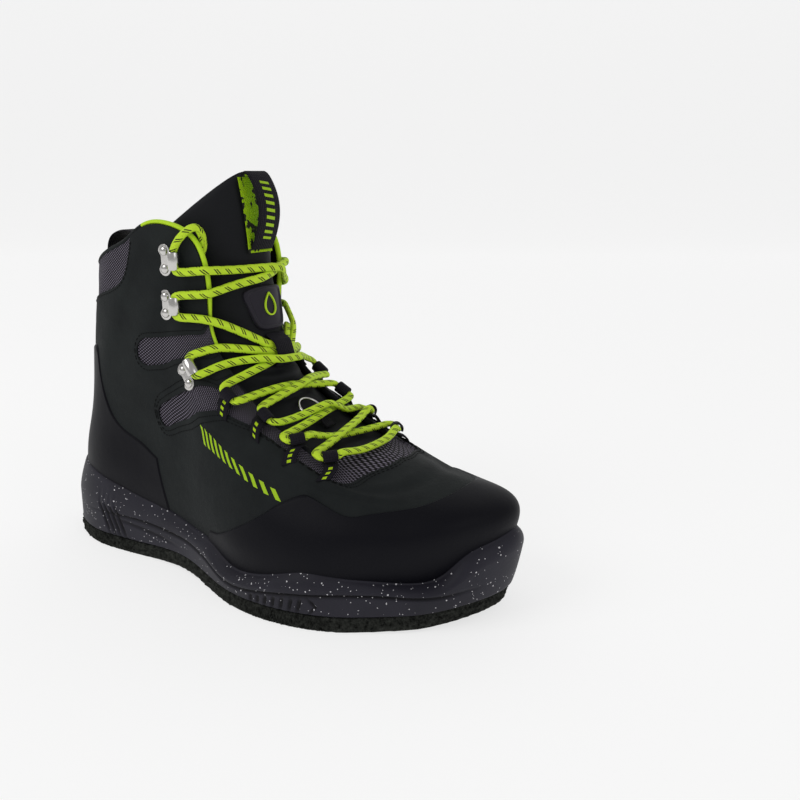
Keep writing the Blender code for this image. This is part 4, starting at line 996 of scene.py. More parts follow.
UPPER_COLUMNS, UPPER_ROWS = 300, 64
cloth = new_grid("mesh_layer", UPPER_COLUMNS, UPPER_ROWS)
flat = points_of(cloth)
station, level = flat[:, 0] * RIBS, flat[:, 1] * LEVELS
face = skin(station, level, give(station, level))
set_uv(cloth, np.column_stack([metres(station, 3.0 + 0 * level)[:, 0], 1.15 * face[:, 2]]))
move_points(cloth, face)
in_edit(cloth, weld, turn_out)
wall = cloth.modifiers.new("wall", "SOLIDIFY")
wall.thickness = UPPER_WALL
wall.offset = -1
wall.material_offset = 1
wall.material_offset_rim = 1
dress(cloth, [mesh_cloth.material, lining.material], "ballistic_mesh", "upper")

# %% [markdown]
# ## Nubuck panels
# The overlay is cut as a flat pattern, station by level, the way leather is cut with a die: a thin slab
# minus the windows. Only then is it bent onto the last. A Boolean on a flat slab keeps every edge crisp.

# %%
# (station, level) round each window on the outer side; levels over 4 run past the opening's edge
WINDOW_HIGH = (
    (4.70, 2.60), (4.78, 2.50), (5.05, 2.47), (5.95, 2.61), (6.80, 2.75), (7.75, 2.95), (8.35, 3.25),
    (8.90, 3.70), (9.25, 4.25), (8.75, 4.25), (8.40, 3.60), (7.75, 3.19), (6.45, 2.91), (5.30, 2.75),
    (4.90, 2.70),
)
WINDOW_LOW_EDGE = (
    (5.36, 2.10), (5.40, 2.01), (5.55, 1.97), (5.80, 2.02), (6.40, 2.17), (7.10, 2.30), (7.80, 2.48),
    (8.35, 2.63), (8.80, 2.80), (9.30, 2.93), (9.65, 3.05), (10.05, 3.10), (10.35, 3.02), (10.60, 2.88),
    (10.85, 2.82), (11.15, 2.94), (11.45, 3.09), (12.35, 3.36),
)
WINDOW_LOW_TOP = (
    (9.75, 4.25), (9.45, 3.62), (9.05, 3.20), (8.55, 2.96), (8.10, 2.79), (7.50, 2.61), (6.75, 2.46),
    (6.00, 2.31), (5.55, 2.19),
)
WINDOW_BACK_EDGE = (
    (-0.5, 3.30), (1.50, 3.33), (2.80, 3.36), (3.60, 3.34), (4.05, 3.36), (4.28, 3.46), (4.36, 3.65),
    (4.32, 4.25),
)
FLAT_STATION, FLAT_LEVEL, FLAT_THICK = 0.030, 0.050, 0.004
NUBUCK_LOW, NUBUCK_OUT = 0.0001, 0.0011


def straight(places):
    """The outline with points added so that its long edges run straight on the boot, not just on paper."""
    dense, levels = [], np.linspace(1.5, LEVELS, 251)
    for (s, l), (t, m) in zip(places, list(places[1:]) + [places[0]]):
        dense.append((s, l))
        if abs(t - s) < 0.4 or max(l, m) > 3.85:
            continue
        low, high = skin_points(np.array([s, t], float), np.array([l, m], float))[:, 2]
        for share in np.arange(1, 6) / 6:
            at = s + (t - s) * share
            heights = skin_points(np.full(251, at), levels)[:, 2]
            dense.append((at, float(np.interp(low + (high - low) * share, heights, levels))))
    return dense


def mirrored(places):
    """The same outline on the inner side, run the other way."""
    return [(RIBS - s, l) for s, l in places[::-1]]


def rounded(places, turns=3):
    """Corners cut again and again until the outline is smooth."""
    places = np.array(places)
    for _ in range(turns):
        after = np.roll(places, -1, axis=0)
        cut = np.stack([0.75 * places + 0.25 * after, 0.25 * places + 0.75 * after], axis=1)
        places = cut.reshape(-1, 2)
    return places


low_window = list(WINDOW_LOW_EDGE) + [(TOE, 3.40)] + mirrored(WINDOW_LOW_EDGE)
low_window += mirrored(WINDOW_LOW_TOP) + list(WINDOW_LOW_TOP)
back_window = list(WINDOW_BACK_EDGE) + [(-0.5, 4.25)]
WINDOWS = [rounded(straight(w)) for w in (WINDOW_HIGH, mirrored(WINDOW_HIGH), low_window)]
WINDOWS += [rounded(w) for w in (back_window, mirrored(back_window))]


def die(name, places, finish=None):
    """A flat outline filled and extruded, to cut the pattern with."""
    curve = bpy.data.curves.new(name, "CURVE")
    curve.dimensions = "2D"
    curve.fill_mode = "BOTH"
    curve.extrude = FLAT_THICK * 2
    line = curve.splines.new("POLY")
    line.points.add(len(places) - 1)
    for point, (s, l) in zip(line.points, places):
        point.co = (s * FLAT_STATION, l * FLAT_LEVEL, 0, 1)
    line.use_cyclic_u = True
    made = bpy.data.objects.new(name, curve)
    bpy.context.scene.collection.objects.link(made)
    only(made)
    bpy.ops.object.convert(target="MESH")
    made = bpy.context.object
    in_edit(made, weld, turn_out)
    return made


# %%
OVERLAY_LOW = 0.25
overlay = new_grid("nubuck_overlay", 330, 60)
flat = points_of(overlay)
size = [RIBS * FLAT_STATION, (LEVELS - OVERLAY_LOW) * FLAT_LEVEL, 0]
flat = flat * size + [0, OVERLAY_LOW * FLAT_LEVEL, 0]
move_points(overlay, flat)
in_edit(overlay, lambda: bpy.ops.mesh.solidify(thickness=FLAT_THICK))
flat = points_of(overlay)
flat[:, 2] -= flat[:, 2].min()
move_points(overlay, flat)

# %%
cutter = joined("windows", [die("window", places) for places in WINDOWS])
cut = overlay.modifiers.new("cut", "BOOLEAN")
cut.operation = "DIFFERENCE"
cut.solver = "EXACT"
cut.object = cutter
only(overlay)
bpy.ops.object.modifier_apply(modifier="cut")
bpy.data.objects.remove(cutter, do_unlink=True)
flat = points_of(overlay)
station, level = flat[:, 0] / FLAT_STATION, flat[:, 1] / FLAT_LEVEL
out = NUBUCK_LOW + flat[:, 2] / FLAT_THICK * (NUBUCK_OUT - NUBUCK_LOW)
set_uv(overlay, metres(station, level))
move_points(overlay, skin(station, level, out + give(station, level)))
in_edit(overlay, weld)
dress(overlay, nubuck.material, "nubuck", angle=30)

# %% [markdown]
# ## Rubber toe rand and heel counter
# Each is a grid between the midsole's lip and its own wavy top edge. Its thickness swells up from that edge.

# %%
WRAP_THICK, WRAP_EDGE, WRAP_ROWS = 0.0013, 0.0016, 48


def wrap_piece(name, stations, top, columns, node):
    """A rubber wrap: full thickness below, rolled down to the panel at its top and end edges."""
    made = new_grid(name, columns, WRAP_ROWS)
    flat = points_of(made)
    at = stations[0] + flat[:, 0] * (stations[1] - stations[0])
    low = level_at(at, sidewall_height(1, at) - 0.003)
    high = np.maximum(table_at(top, 1, at), low + 0.12)
    share = flat[:, 1]
    level = low + (high - low) * share
    drop = np.linalg.norm(skin_points(at, high) - skin_points(at, level), axis=1)
    ends = np.minimum(at - stations[0], stations[1] - at) * 0.030
    near = np.clip(np.minimum(drop, ends) / WRAP_EDGE, 0, 1)
    out = NUBUCK_OUT - 0.0003 + WRAP_THICK * np.sqrt(1 - (1 - near) ** 2)
    set_uv(made, metres(np.mod(at, RIBS), level))
    move_points(made, skin(at, level, out + 0.6 * give(at, level)))
    in_edit(made, turn_out)
    return dress(made, rubber.material, "rand_rubber", node)


def eased_top(table, spread=0.12):
    """The top edge's table, sampled closely and rounded at its corners."""
    rows = np.array(table)
    at = np.arange(rows[0, 0], rows[-1, 0] + 0.01, 0.05)
    shifts = np.linspace(-spread, spread, 7)
    level = np.mean([np.interp(at + d, rows[:, 0], rows[:, 1]) for d in shifts], axis=0)
    return tuple(zip(at, level))


RAND_START, RAND_LOW, COUNTER_REACH = 6.2, 0.25, 5.0
rand_top = eased_top(((RAND_START, RAND_LOW),) + RAND_TOP)
wrap_piece("rubber_toe_rand", (RAND_START, RIBS - RAND_START), rand_top, 420, "toe_rand")
counter_top = eased_top(COUNTER_TOP, 0.2)
wrap_piece("rubber_counter", (-COUNTER_REACH, COUNTER_REACH), counter_top, 240, "heel_counter")

# %% [markdown]
# ## Collar binding
# A soft bright bead rides on the edge of the collar and runs down both sides of the throat.

# %%
def edge_bead(name, stations, corners, rise, high, wide):
    """A round bead along the opening's edge: how far its middle is over the edge, and its half sizes."""
    turns = np.arange(corners) * 2 * math.pi / corners
    ups, outs = rise + high * np.sin(turns), -0.5 * UPPER_WALL + wide * np.cos(turns)
    frames = zip(*edge_frame(stations))
    return bridged(name, [here + np.outer(ups, up) + np.outer(outs, out) for here, up, out in frames])


BEAD_SECTIONS, BEAD_CORNERS = 240, 12
round_collar = np.linspace(-BEAD_END, BEAD_END, BEAD_SECTIONS)
bead = edge_bead("binding", round_collar, BEAD_CORNERS, 0.0013, 0.0014, 0.0018)
dress(bead, [lime.material, nubuck.material], "lime_trim", "collar_binding")
# The photo shows no lime over the outer rear of the collar, so the bead is dark there.
row = np.array([min(p.vertices) // BEAD_CORNERS for p in bead.data.polygons])
at = -BEAD_END + row * 2 * BEAD_END / (BEAD_SECTIONS - 1)
bead.data.polygons.foreach_set("material_index", ((at > 0.3) & (at < 4.8)).astype(np.int32))

# Past its ends a dark tape finishes the throat's edge round the toe side.
past = np.linspace(BEAD_END + 0.02, RIBS - BEAD_END - 0.02, 200)
dress(edge_bead("throat_tape", past, 10, -0.0004, 0.0011, 0.0019), shell.material, "dark_lining")

# %% [markdown]
# ## Tongue
# A padded shield: the outer face follows the table, the inner face lies behind it. Folds gather where the
# ankle bends.

# %%
# (share of the way up, slant, half width in shares, depth in metres)
TONGUE_FOLDS = (
    (0.405, 0.012, 0.010, 0.0011), (0.450, -0.016, 0.012, 0.0014), (0.505, 0.018, 0.011, 0.0012),
    (0.555, -0.010, 0.012, 0.0010), (0.640, 0.014, 0.016, 0.0006), (0.770, -0.020, 0.020, 0.0005),
)


def tongue_out(share, across):
    swell = 0.0003 * np.sin(share * 31 + across * 4)
    for at, slant, wide, depth in TONGUE_FOLDS:
        place = (share - at - slant * across) / wide
        swell = swell - depth * np.exp(-(place**2)) + 0.5 * depth * np.exp(-((place - 2.2) ** 2))
    return swell * (1 - across**4)


TONGUE_COLUMNS, TONGUE_ROWS = 41, 110
across = np.linspace(-1, 1, TONGUE_COLUMNS)
inward = TONGUE_EDGE + (TONGUE_THICK - TONGUE_EDGE) * (1 - across**4)
sections = []
for share in np.linspace(0, 1, TONGUE_ROWS):
    slim = math.sqrt(max(0.0, 1 - max(0.0, (share - 0.975) / 0.026) ** 2))
    face = tongue_face(share, across, tongue_out(share, across) - (1 - slim) * inward / 2)
    back = tongue_face(share, across[::-1], (-inward * (1 + slim) / 2)[::-1])
    sections.append(np.vstack([face, back]))
tongue = bridged("padded_tongue", sections)
around = np.array([min(p.vertices) % (2 * TONGUE_COLUMNS) for p in tongue.data.polygons])
behind = (around >= TONGUE_COLUMNS) & (around < 2 * TONGUE_COLUMNS - 1)
dress(tongue, [shell.material, lime.material], "tongue_shell", "tongue")
tongue.data.polygons.foreach_set("material_index", behind.astype(np.int32))

# %% [markdown]
# ## Badge, pull loop, keeper and ring
# The badge is a rubber shield with a raised rim. Where the real one carries a mark, this one has a plain
# droplet outline. By hand it would be a plane with rounded corners, inset, extruded and shrinkwrapped.

# %%
badge = new_grid("rubber_badge", 60, 60)
flat = points_of(badge) * 2 - 1
reach = np.maximum(np.abs(flat[:, 0]), np.abs(flat[:, 1]))
corner_pull = reach / np.maximum(1e-6, (np.abs(flat[:, 0]) ** 5 + np.abs(flat[:, 1]) ** 5) ** 0.2)
across, up = flat[:, 0] * corner_pull, flat[:, 1] * corner_pull
width = BADGE_WIDTH * (1 - BADGE_TAPER * (1 - up))
share = (BADGE_LOW + BADGE_HIGH) / 2 + up * (BADGE_HIGH - BADGE_LOW) / 2
rim = np.clip((reach - 0.82) / 0.04, 0, 1) * np.clip((0.995 - reach) / 0.04, 0, 1)
out = 0.0008 + 0.0009 * np.clip((1.0 - reach) / 0.05, 0, 1) ** 0.5 + 0.0010 * rim
out = np.where(reach > 0.999, 0.0001, out)
set_uv(badge, np.column_stack([across, up]) * 0.015)
move_points(badge, tongue_face(share, across * width, out))
in_edit(badge, turn_out)
badge_rubber = Finish("badge_rubber", (36, 33, 42), 0.5, gloss=0.2)
dress(badge, badge_rubber.material, "rand_rubber", "tongue_badge")

# %%
turns = np.linspace(0, 2 * math.pi, 61)[:-1]
drop_up = 0.50 * np.cos(turns) + 0.12
drop_across = 0.40 * np.sin(turns) * np.sin(turns / 2) ** 1.1
places = np.column_stack([drop_across, drop_up])
DROP_LOW, DROP_HIGH = 0.0018, 0.0027
sections = []
for (a, u), (da, du) in zip(places, np.roll(places, -1, axis=0) - np.roll(places, 1, axis=0)):
    share = (BADGE_LOW + BADGE_HIGH) / 2 + u * (BADGE_HIGH - BADGE_LOW) / 2
    wide = BADGE_WIDTH * (1 - BADGE_TAPER * (1 - u))
    way = np.array([-du, da]) / max(1e-6, math.hypot(du, da))
    rim = []
    for side, lift in ((-1, DROP_LOW), (-1, DROP_HIGH), (1, DROP_HIGH), (1, DROP_LOW)):
        s = share + way[1] * side * 0.0016
        rim.append(tongue_face(s, a * wide + way[0] * side * 0.013, lift)[0])
    sections.append(rim)
dress(bridged("badge_drop", sections, closed=True), lime.material, "lime_trim")

# %%
# Sections with rounded edges, as shares of the width and of the thickness
TAPE = [
    (-0.5, -0.2), (-0.44, -0.5), (0.44, -0.5), (0.5, -0.2), (0.5, 0.2), (0.44, 0.5), (-0.44, 0.5),
    (-0.5, 0.2),
]
SHEET_METAL = [
    (-0.5, -0.3), (-0.46, -0.5), (0.46, -0.5), (0.5, -0.3), (0.5, 0.3), (0.46, 0.5), (-0.46, 0.5),
    (-0.5, 0.3),
]


def strap(name, centres, width_way, width, thick, section=TAPE):
    """A tape with rounded edges swept along its centre line; its width may change along it."""
    centres = np.asarray(centres, float)
    width = np.broadcast_to(width, (len(centres),))[:, None]
    width_way = np.broadcast_to(np.asarray(width_way, float), centres.shape)
    run = np.gradient(centres, axis=0)
    run /= np.linalg.norm(run, axis=1)[:, None]
    lift = np.cross(run, width_way)
    lift /= np.linalg.norm(lift, axis=1)[:, None]
    sections = np.stack([centres + width_way * width * a + lift * thick * b for a, b in section], axis=1)
    return bridged(name, sections)


# %%
# The pull loop stands a little fuller than the source's strap, as the photo shows its lime inside.
PULL_STAND = 1.45
side_way = np.array([0.0, 1.0, 0.0])


def tongue_way(path, steps, stand=1.0):
    """Places off the tongue's middle line, from rows of (share of the way up, distance off)."""
    dense = smooth_values(np.array(path), np.linspace(0, len(path) - 1, steps)) * [1, stand]
    return tongue_face(dense[:, 0], 0, dense[:, 1])


pull = strap("pull_tape", tongue_way(PULL_PATH, 70, PULL_STAND), side_way, PULL_WIDTH, PULL_THICK)
dress(pull, [black_webbing.material, lime_webbing.material], "black_webbing", "tongue_pull_loop")
# The tape's second broad face, which is the loop's inside, is lime.
inside = [len(p.vertices) == 4 and min(p.vertices) % len(TAPE) == 1 for p in pull.data.polygons]
pull.data.polygons.foreach_set("material_index", np.array(inside).astype(np.int32))
shares = np.linspace(0.982, 0.80, 30)
back = strap("pull_back", tongue_face(shares, 0, 0.0008), side_way, PULL_WIDTH * 1.12, 0.0005)
dress(back, lime_webbing.material, "black_webbing")
keeper = strap("keeper_tape", tongue_way(KEEPER_PATH, 40), side_way, KEEPER_WIDTH, WEBBING_THICK)
dress(keeper, black_webbing.material, "black_webbing", "lace_keeper")

# %% [markdown]
# The tape on the tongue carries a row of plain lime dashes in place of its lettering.

# %%
def dash(corners, face, rise):
    """A small raised print: a grid stretched between four corners, laid on a face and lifted inside."""
    made = new_grid("mark", 6, 3)
    flat = points_of(made)
    a, b = flat[:, 0], flat[:, 1]
    corners = np.array(corners, float)
    low = corners[0] + np.outer(a, corners[1] - corners[0])
    high = corners[3] + np.outer(a, corners[2] - corners[3])
    places = low + (high - low) * b[:, None]
    inner = (np.abs(a - 0.5) < 0.45) & (np.abs(b - 0.5) < 0.4)
    move_points(made, face(places, np.where(inner, rise, rise * 0.3)))
    return made


def on_pull(places, rise):
    """Places on the pull loop's outer face, from (row of its path, metres across)."""
    here, away = (smooth_values(np.array(PULL_PATH) * [1, PULL_STAND], places[:, 0] + d) for d in (0, 0.01))
    lifted = tongue_face(here[:, 0], 0, here[:, 1])
    run = tongue_face(away[:, 0], 0, away[:, 1]) - lifted
    run /= np.linalg.norm(run, axis=1)[:, None]
    out = np.cross(run, side_way)
    lifted[:, 1] = places[:, 1]
    return lifted + out * np.reshape(PULL_THICK / 2 + rise, (-1, 1))


marks = []
for k in range(9):
    low = 2.05 + k * 0.36
    corners = [(low, -0.0032), (low + 0.16, -0.0032), (low + 0.26, 0.0042), (low + 0.10, 0.0042)]
    marks.append(dash(corners, on_pull, 0.0002))
dress(joined("pull_marks", marks), print_lime.material, "lime_trim")

# %%
def nearest_share(point):
    """Share of the way up the tongue at which its middle line is nearest to a point seen from the side."""
    shares = np.linspace(0, 1, 101)
    middle = tongue_points(shares, shares * 0)
    return shares[np.argmin(np.hypot(middle[:, 0] - point[0], middle[:, 2] - point[2]))]

middle = tongue_face(RING_PLACE, 0, RING_LIFT + RING_WIRE)[0]
ahead = tongue_face(RING_PLACE - 0.02, 0, RING_LIFT + RING_WIRE)[0] - middle
ahead /= np.linalg.norm(ahead)
lift = np.cross(ahead, side_way)
bpy.ops.object.select_all(action="DESELECT")
bpy.ops.mesh.primitive_torus_add(
    major_radius=RING_RADIUS, minor_radius=RING_WIRE, major_segments=64, minor_segments=12
)
ring = bpy.context.object
ring.name = ring.data.name = "tongue_ring"
flat = points_of(ring)
move_points(ring, middle + flat[:, :1] * ahead + flat[:, 1:2] * side_way + flat[:, 2:] * lift)
dress(ring, steel.material, "steel", "ring")

# %%
# The tape that holds the ring lies over its lower side.
over = CLEAR + RING_WIRE + WEBBING_THICK / 2
path = [middle + ahead * (RING_RADIUS + d) + lift * over for d in (-0.0035, 0.0, 0.0028)]
end = nearest_share(path[-1])
path += [tongue_face(end - step, 0, WEBBING_LIFT)[0] for step in (0.015, 0.03)]
path = smooth_values(np.array(path), np.linspace(0, 4, 24))
tape = strap("ring_tape", path, side_way, RING_TAB_WIDTH, WEBBING_THICK)
dress(tape, black_webbing.material, "black_webbing", "ring_tab")

# %% [markdown]
# ## Heel pull loop
# It stands a little higher than the source's strap, as high over the collar as in the photo.

# %%
LOOP_STAND = 1.45
half = WEBBING_THICK / 2
outer = BEAD_PROUD + CLEAR + half
inner = -(UPPER_WALL + BEAD_PROUD + WEBBING_THICK + CLEAR + half)
rows = [skin(0, LEVELS - down, outer)[0] for down in (0.42, 0.2, 0.0)]
edge = skin_points(np.array([0.0]), np.array([float(LEVELS)]))[0]
rows += [edge + np.array([x, 0, z * LOOP_STAND]) for x, z in HEEL_LOOP_PATH]
rows += [skin(0, LEVELS - down, inner)[0] for down in (0.05, 0.3)]
path = smooth_values(np.array(rows), np.linspace(0, len(rows) - 1, 80))
path[:, 1] = 0
heel_loop = strap("heel_tape", path, side_way, HEEL_LOOP_WIDTH, WEBBING_THICK)
dress(heel_loop, black_webbing.material, "black_webbing", "heel_pull_loop")

# %% [markdown]
# ## Hooks and lace loops
# Each hold has its own small frame: along the throat, towards the throat and out of the leather. The plates,
# rivets and curls are made in that frame and then laid in place.

# %%
class Hold:
    """A place where the lace is held: its middle, and the ways along and towards the throat and outwards."""

    def __init__(self, low, high, rise, reach, side):
        start, end = skin(side * low[0], low[1])[0], skin(side * high[0], high[1])[0]
        self.middle = (start + end) / 2
        station, level = side * (low[0] + high[0]) / 2, (low[1] + high[1]) / 2
        self.out = skin(station, level, 1.0)[0] - skin(station, level)[0]
        along = end - start
        along -= self.out * (along @ self.out)
        self.along = along / np.linalg.norm(along)
        self.inward = np.cross(self.out, self.along) * side
        self.gap = np.linalg.norm(end - start)
        self.lace = self.middle + self.out * rise + self.inward * reach
        self.side = side


def curl(centre, inward, out, radius, turn, steps):
    """Points of an arc that starts under its centre and curls up on the inward side."""
    angles = np.radians(np.linspace(-90, turn, steps))
    return centre + radius * (np.cos(angles)[:, None] * inward + np.sin(angles)[:, None] * out)


def hook_hold(rivets, side):
    rise = PLATE_LIFT + PLATE_THICK / 2 + HOOK_CURL
    return Hold(rivets[0], rivets[1], rise, HOOK_REACH, side)


def loop_hold(ends, side):
    """The eye of a webbing loop, with its way along the throat square to the strap."""
    foot, eye = ends
    hold = Hold(foot, eye, 0, 0, side)
    at, level = side * eye[0], eye[1]
    hold.out = skin(at, level, 1.0)[0] - skin(at, level)[0]
    end = skin(at, level, WEBBING_LIFT)[0]
    before = skin(side * (0.85 * eye[0] + 0.15 * foot[0]), 0.85 * level + 0.15 * foot[1], WEBBING_LIFT)[0]
    inward = end - before
    inward -= hold.out * (inward @ hold.out)
    hold.inward = inward / np.linalg.norm(inward)
    hold.along = np.cross(hold.inward, hold.out) * side
    hold.lace = end + hold.out * LOOP_CURL
    hold.gap = LOOP_WIDTH
    return hold

def laid(obj, hold, lift):
    """Takes a piece from its own frame to its hold on the upper."""
    local = points_of(obj)
    way = np.array([hold.along, hold.inward, hold.out])
    move_points(obj, hold.middle + hold.out * lift + local @ way)
    in_edit(obj, turn_out)
    return obj


def plate_of(gap):
    """The two-lobed plate: an outline drawn flat, filled, extruded and rounded by its own bevel."""
    turns = np.linspace(0, math.pi, 15)
    places = [(gap / 2 + PLATE_LOBE * math.sin(a), PLATE_LOBE * math.cos(a)) for a in turns]
    places += [(gap * 0.22, -0.60 * PLATE_LOBE), (-gap * 0.22, -0.60 * PLATE_LOBE)]
    places += [(-gap / 2 - PLATE_LOBE * math.sin(a), -PLATE_LOBE * math.cos(a)) for a in turns]
    places += [(-gap * 0.22, 0.75 * PLATE_LOBE), (gap * 0.22, 0.75 * PLATE_LOBE)]
    curve = bpy.data.curves.new("plate", "CURVE")
    curve.dimensions = "2D"
    curve.fill_mode = "BOTH"
    curve.extrude = PLATE_THICK / 2 - 0.0002
    curve.bevel_depth = 0.0002
    curve.offset = -0.0002
    line = curve.splines.new("POLY")
    line.points.add(len(places) - 1)
    for point, (x, y) in zip(line.points, places):
        point.co = (x, y, 0, 1)
    line.use_cyclic_u = True
    made = bpy.data.objects.new("plate", curve)
    bpy.context.scene.collection.objects.link(made)
    only(made)
    bpy.ops.object.convert(target="MESH")
    made = bpy.context.object
    in_edit(made, weld)
    move_points(made, points_of(made) + [0, 0, PLATE_THICK / 2])
    return made


# %%
# (share of the way along the curl, width in metres)
CURL_WIDTHS = ((0, 0.0060), (0.25, 0.0080), (0.6, 0.0102), (0.92, 0.0106), (1, 0.0092))


def hook_piece(name, rivets, side):
    """A speed hook: plate, two domed rivets and the curl that the lace runs through."""
    hold = hook_hold(rivets, side)
    pieces = [laid(plate_of(hold.gap), hold, PLATE_LIFT)]
    for sign in (-1, 1):
        bpy.ops.object.select_all(action="DESELECT")
        bpy.ops.mesh.primitive_uv_sphere_add(segments=24, ring_count=12, radius=1)
        rivet = bpy.context.object
        size = [RIVET_RADIUS, RIVET_RADIUS, RIVET_RISE]
        move_points(rivet, points_of(rivet) * size + [sign * hold.gap / 2, 0, PLATE_THICK])
        pieces.append(laid(rivet, hold, PLATE_LIFT))
    floor = hold.middle + hold.out * (PLATE_LIFT + PLATE_THICK * 0.8)
    centre = floor + hold.inward * HOOK_REACH + hold.out * HOOK_CURL
    start = floor + hold.inward * 0.0005
    bow = curl(centre, hold.inward, hold.out, HOOK_CURL, 118, 18)
    path = np.vstack([start, start + hold.inward * 0.003, bow])
    widths = np.interp(np.linspace(0, 1, len(path)), *zip(*CURL_WIDTHS))
    pieces.append(strap("curl", path, hold.along, widths, HOOK_THICK, SHEET_METAL))
    return dress(joined("steel_" + name, pieces), steel.material, "steel", name, angle=35)


SIDES = (("lateral", 1), ("medial", -1))
for number, rivets in enumerate(HOOK_RIVETS, 1):
    for word, side in SIDES:
        hook_piece("lace_hook_%d_%s" % (number, word), rivets, side)

# %%
def loop_piece(name, ends, side):
    """A webbing loop: flat on the upper from its foot, then curled round the lace."""
    hold = loop_hold(ends, side)
    (station, level), (eye_station, eye_level) = ends
    shares = np.linspace(0, 1, 14)[:-1]
    at = side * (station + (eye_station - station) * shares)
    on = level + (eye_level - level) * shares
    press = 0.0009 * (1 - np.clip(shares / 0.5, 0, 1))
    flat = skin(at, on, WEBBING_LIFT + 0.6 * LOOP_ARCH * np.sin(shares * math.pi) - press)
    path = np.vstack([flat, curl(hold.lace, hold.inward, hold.out, LOOP_CURL, 175, 16)])
    tape = strap("tape_" + name, path, hold.along, LOOP_WIDTH, WEBBING_THICK)
    return dress(tape, dotted.material, "black_webbing", name)


for number, ends in enumerate(LOOP_ENDS, 1):
    for word, side in SIDES:
        loop_piece("lace_loop_%d_%s" % (number, word), ends, side)

# %% [markdown]
# ## Lace
# The way-points are the part's. The path is then drawn tight between its holds and kept clear of what it
# passes, as a cloth simulation would do with a cord, and swept with a flat oval section. This way needs no
# bake, and the lace comes out the same every time.

# %%
def edge_point(point, side):
    """The place just outside the throat edge nearest to a point, clear of the edge by the lace."""
    stations = side * np.linspace(6.4, 12.2, 117)
    here, up, out = edge_frame(stations)
    best = np.argmin(np.linalg.norm(here - point, axis=1))
    bead = BEAD_HEIGHT + CLEAR if abs(stations[best]) < BEAD_END + 0.5 else 0.0
    reach = LACE_RADIUS + LACE_GAP
    return here[best] + out[best] * 0.8 * (reach + BEAD_PROUD) + up[best] * 0.7 * (reach + bead)


def clear_of_upper(point, side):
    """The point, moved out to where the lace is clear of the upper's face."""
    stations, levels = np.meshgrid(np.linspace(5.6, 12.8, 73), np.linspace(2.5, LEVELS, 31))
    face = skin_points(side * stations.ravel(), levels.ravel())
    best = np.argmin(np.linalg.norm(face - point, axis=1))
    at, level = side * stations.ravel()[best], levels.ravel()[best]
    out = skin(at, level, 1.0)[0] - skin(at, level)[0]
    rise = (point - face[best]) @ out
    return point + out * max(0.0, LACE_RADIUS + 2 * LACE_GAP - rise)


def leave(hold, point):
    """Way-points from a hold to the throat edge: none where the hold's eye is at the edge."""
    edge = edge_point(point, hold.side)
    if (edge - point) @ hold.inward < LACE_RADIUS:
        return []
    return [clear_of_upper((point + edge) / 2, hold.side), edge]


def strand(start, end, holds, number, over):
    """Way-points over the tongue between two holds, from one side to the other."""
    lateral, medial = (start, end) if holds[0].side == 1 else (end, start)
    first, last = nearest_share(lateral), nearest_share(medial)
    across, down = CROSSINGS[number]
    middle = max(first, last) - abs(last - first) * down
    reach = LACE_RADIUS + TONGUE_GAP
    lift = (2 * LACE_RADIUS + CLEAR) * over
    soon = first + (middle - first) * EARLY
    places = [(-SIDE_REACH, first), (-0.55, soon), (across, middle), (SIDE_REACH, last)]
    rows = [(-0.55, 0.0), (across - 0.42, 0.8), (across, 1.0), (across + 0.28, 0.3)]
    if number == KEEPER_PAIR:
        held = KEEPER_PATH[3][0] + (KEEPER_SHIFT if first > last else -KEEPER_SHIFT)
        places = [(-SIDE_REACH, first), (-0.25, held), (0.25, held), (across, middle), (SIDE_REACH, last)]
        rows = [(-0.55, 0.0), (-0.25, 0.0), (0.25, 0.0), (across - 0.18, 0.7), (across, 1.0)]
    places = np.array(places)
    points = []
    for v, raised in rows:
        share = np.interp(v, places[:, 0], places[:, 1])
        near_ring = abs(share - RING_PLACE + 0.03) < 0.06 and abs(v) < 0.3
        low = OVER_RING if near_ring else reach
        points.append(tongue_face(share, v, low + raised * lift)[0])
    ways = [leave(hold, point) for hold, point in zip(holds, (start, end))]
    if holds[0].side == -1:
        points = points[::-1]
    return ways[0] + points + ways[1][::-1]

# %%
def lace_path():
    """Way-points of the lace from the top hook on the outer side, down, round the toe end and back up."""
    holds = {}
    for side in (1, -1):
        for number, rivets in enumerate(HOOK_RIVETS):
            holds[number, side] = hook_hold(rivets, side)
        for number, ends in enumerate(LOOP_ENDS, len(HOOK_RIVETS)):
            holds[number, side] = loop_hold(ends, side)
    last = len(HOOK_RIVETS) + len(LOOP_ENDS) - 1
    order = [(n, 1 if n % 2 == 0 else -1) for n in range(last + 1)]
    order += [(n, -side) for n, side in order[::-1]]
    points = []
    for place, (number, side) in enumerate(order):
        hold = holds[number, side]
        way = hold.along * (1 if place <= last else -1)
        half = hold.gap / 2 * (HOLD_REACH if number < len(HOOK_RIVETS) else LOOP_REACH)
        turn = hold.inward * LACE_RADIUS + hold.out * 0.3 * LACE_RADIUS
        here = [hold.lace - way * half, hold.lace + way * half]
        if place > 0:
            here.insert(0, hold.lace - way * (half + LACE_RADIUS) + turn)
        if place < len(order) - 1:
            here.append(hold.lace + way * (half + LACE_RADIUS) + turn)
        points.append(here)
    path, held = list(points[0]), [True] * len(points[0])
    for place in range(1, len(order)):
        before, after = order[place - 1], order[place]
        if place == last + 1:
            bar = before[1] * np.array(TOE_BAR)
            path += [skin(s, TOE_BAR_LEVEL, LACE_RADIUS + LACE_GAP)[0] for s in bar]
        else:
            pair = min(before[0], after[0])
            ends = points[place - 1][-1], points[place][0]
            path += strand(*ends, (holds[before], holds[after]), pair, place <= last)
        held += [False] * (len(path) - len(held))
        path += points[place]
        held += [True] * len(points[place])
    return np.array(path), np.array(held)


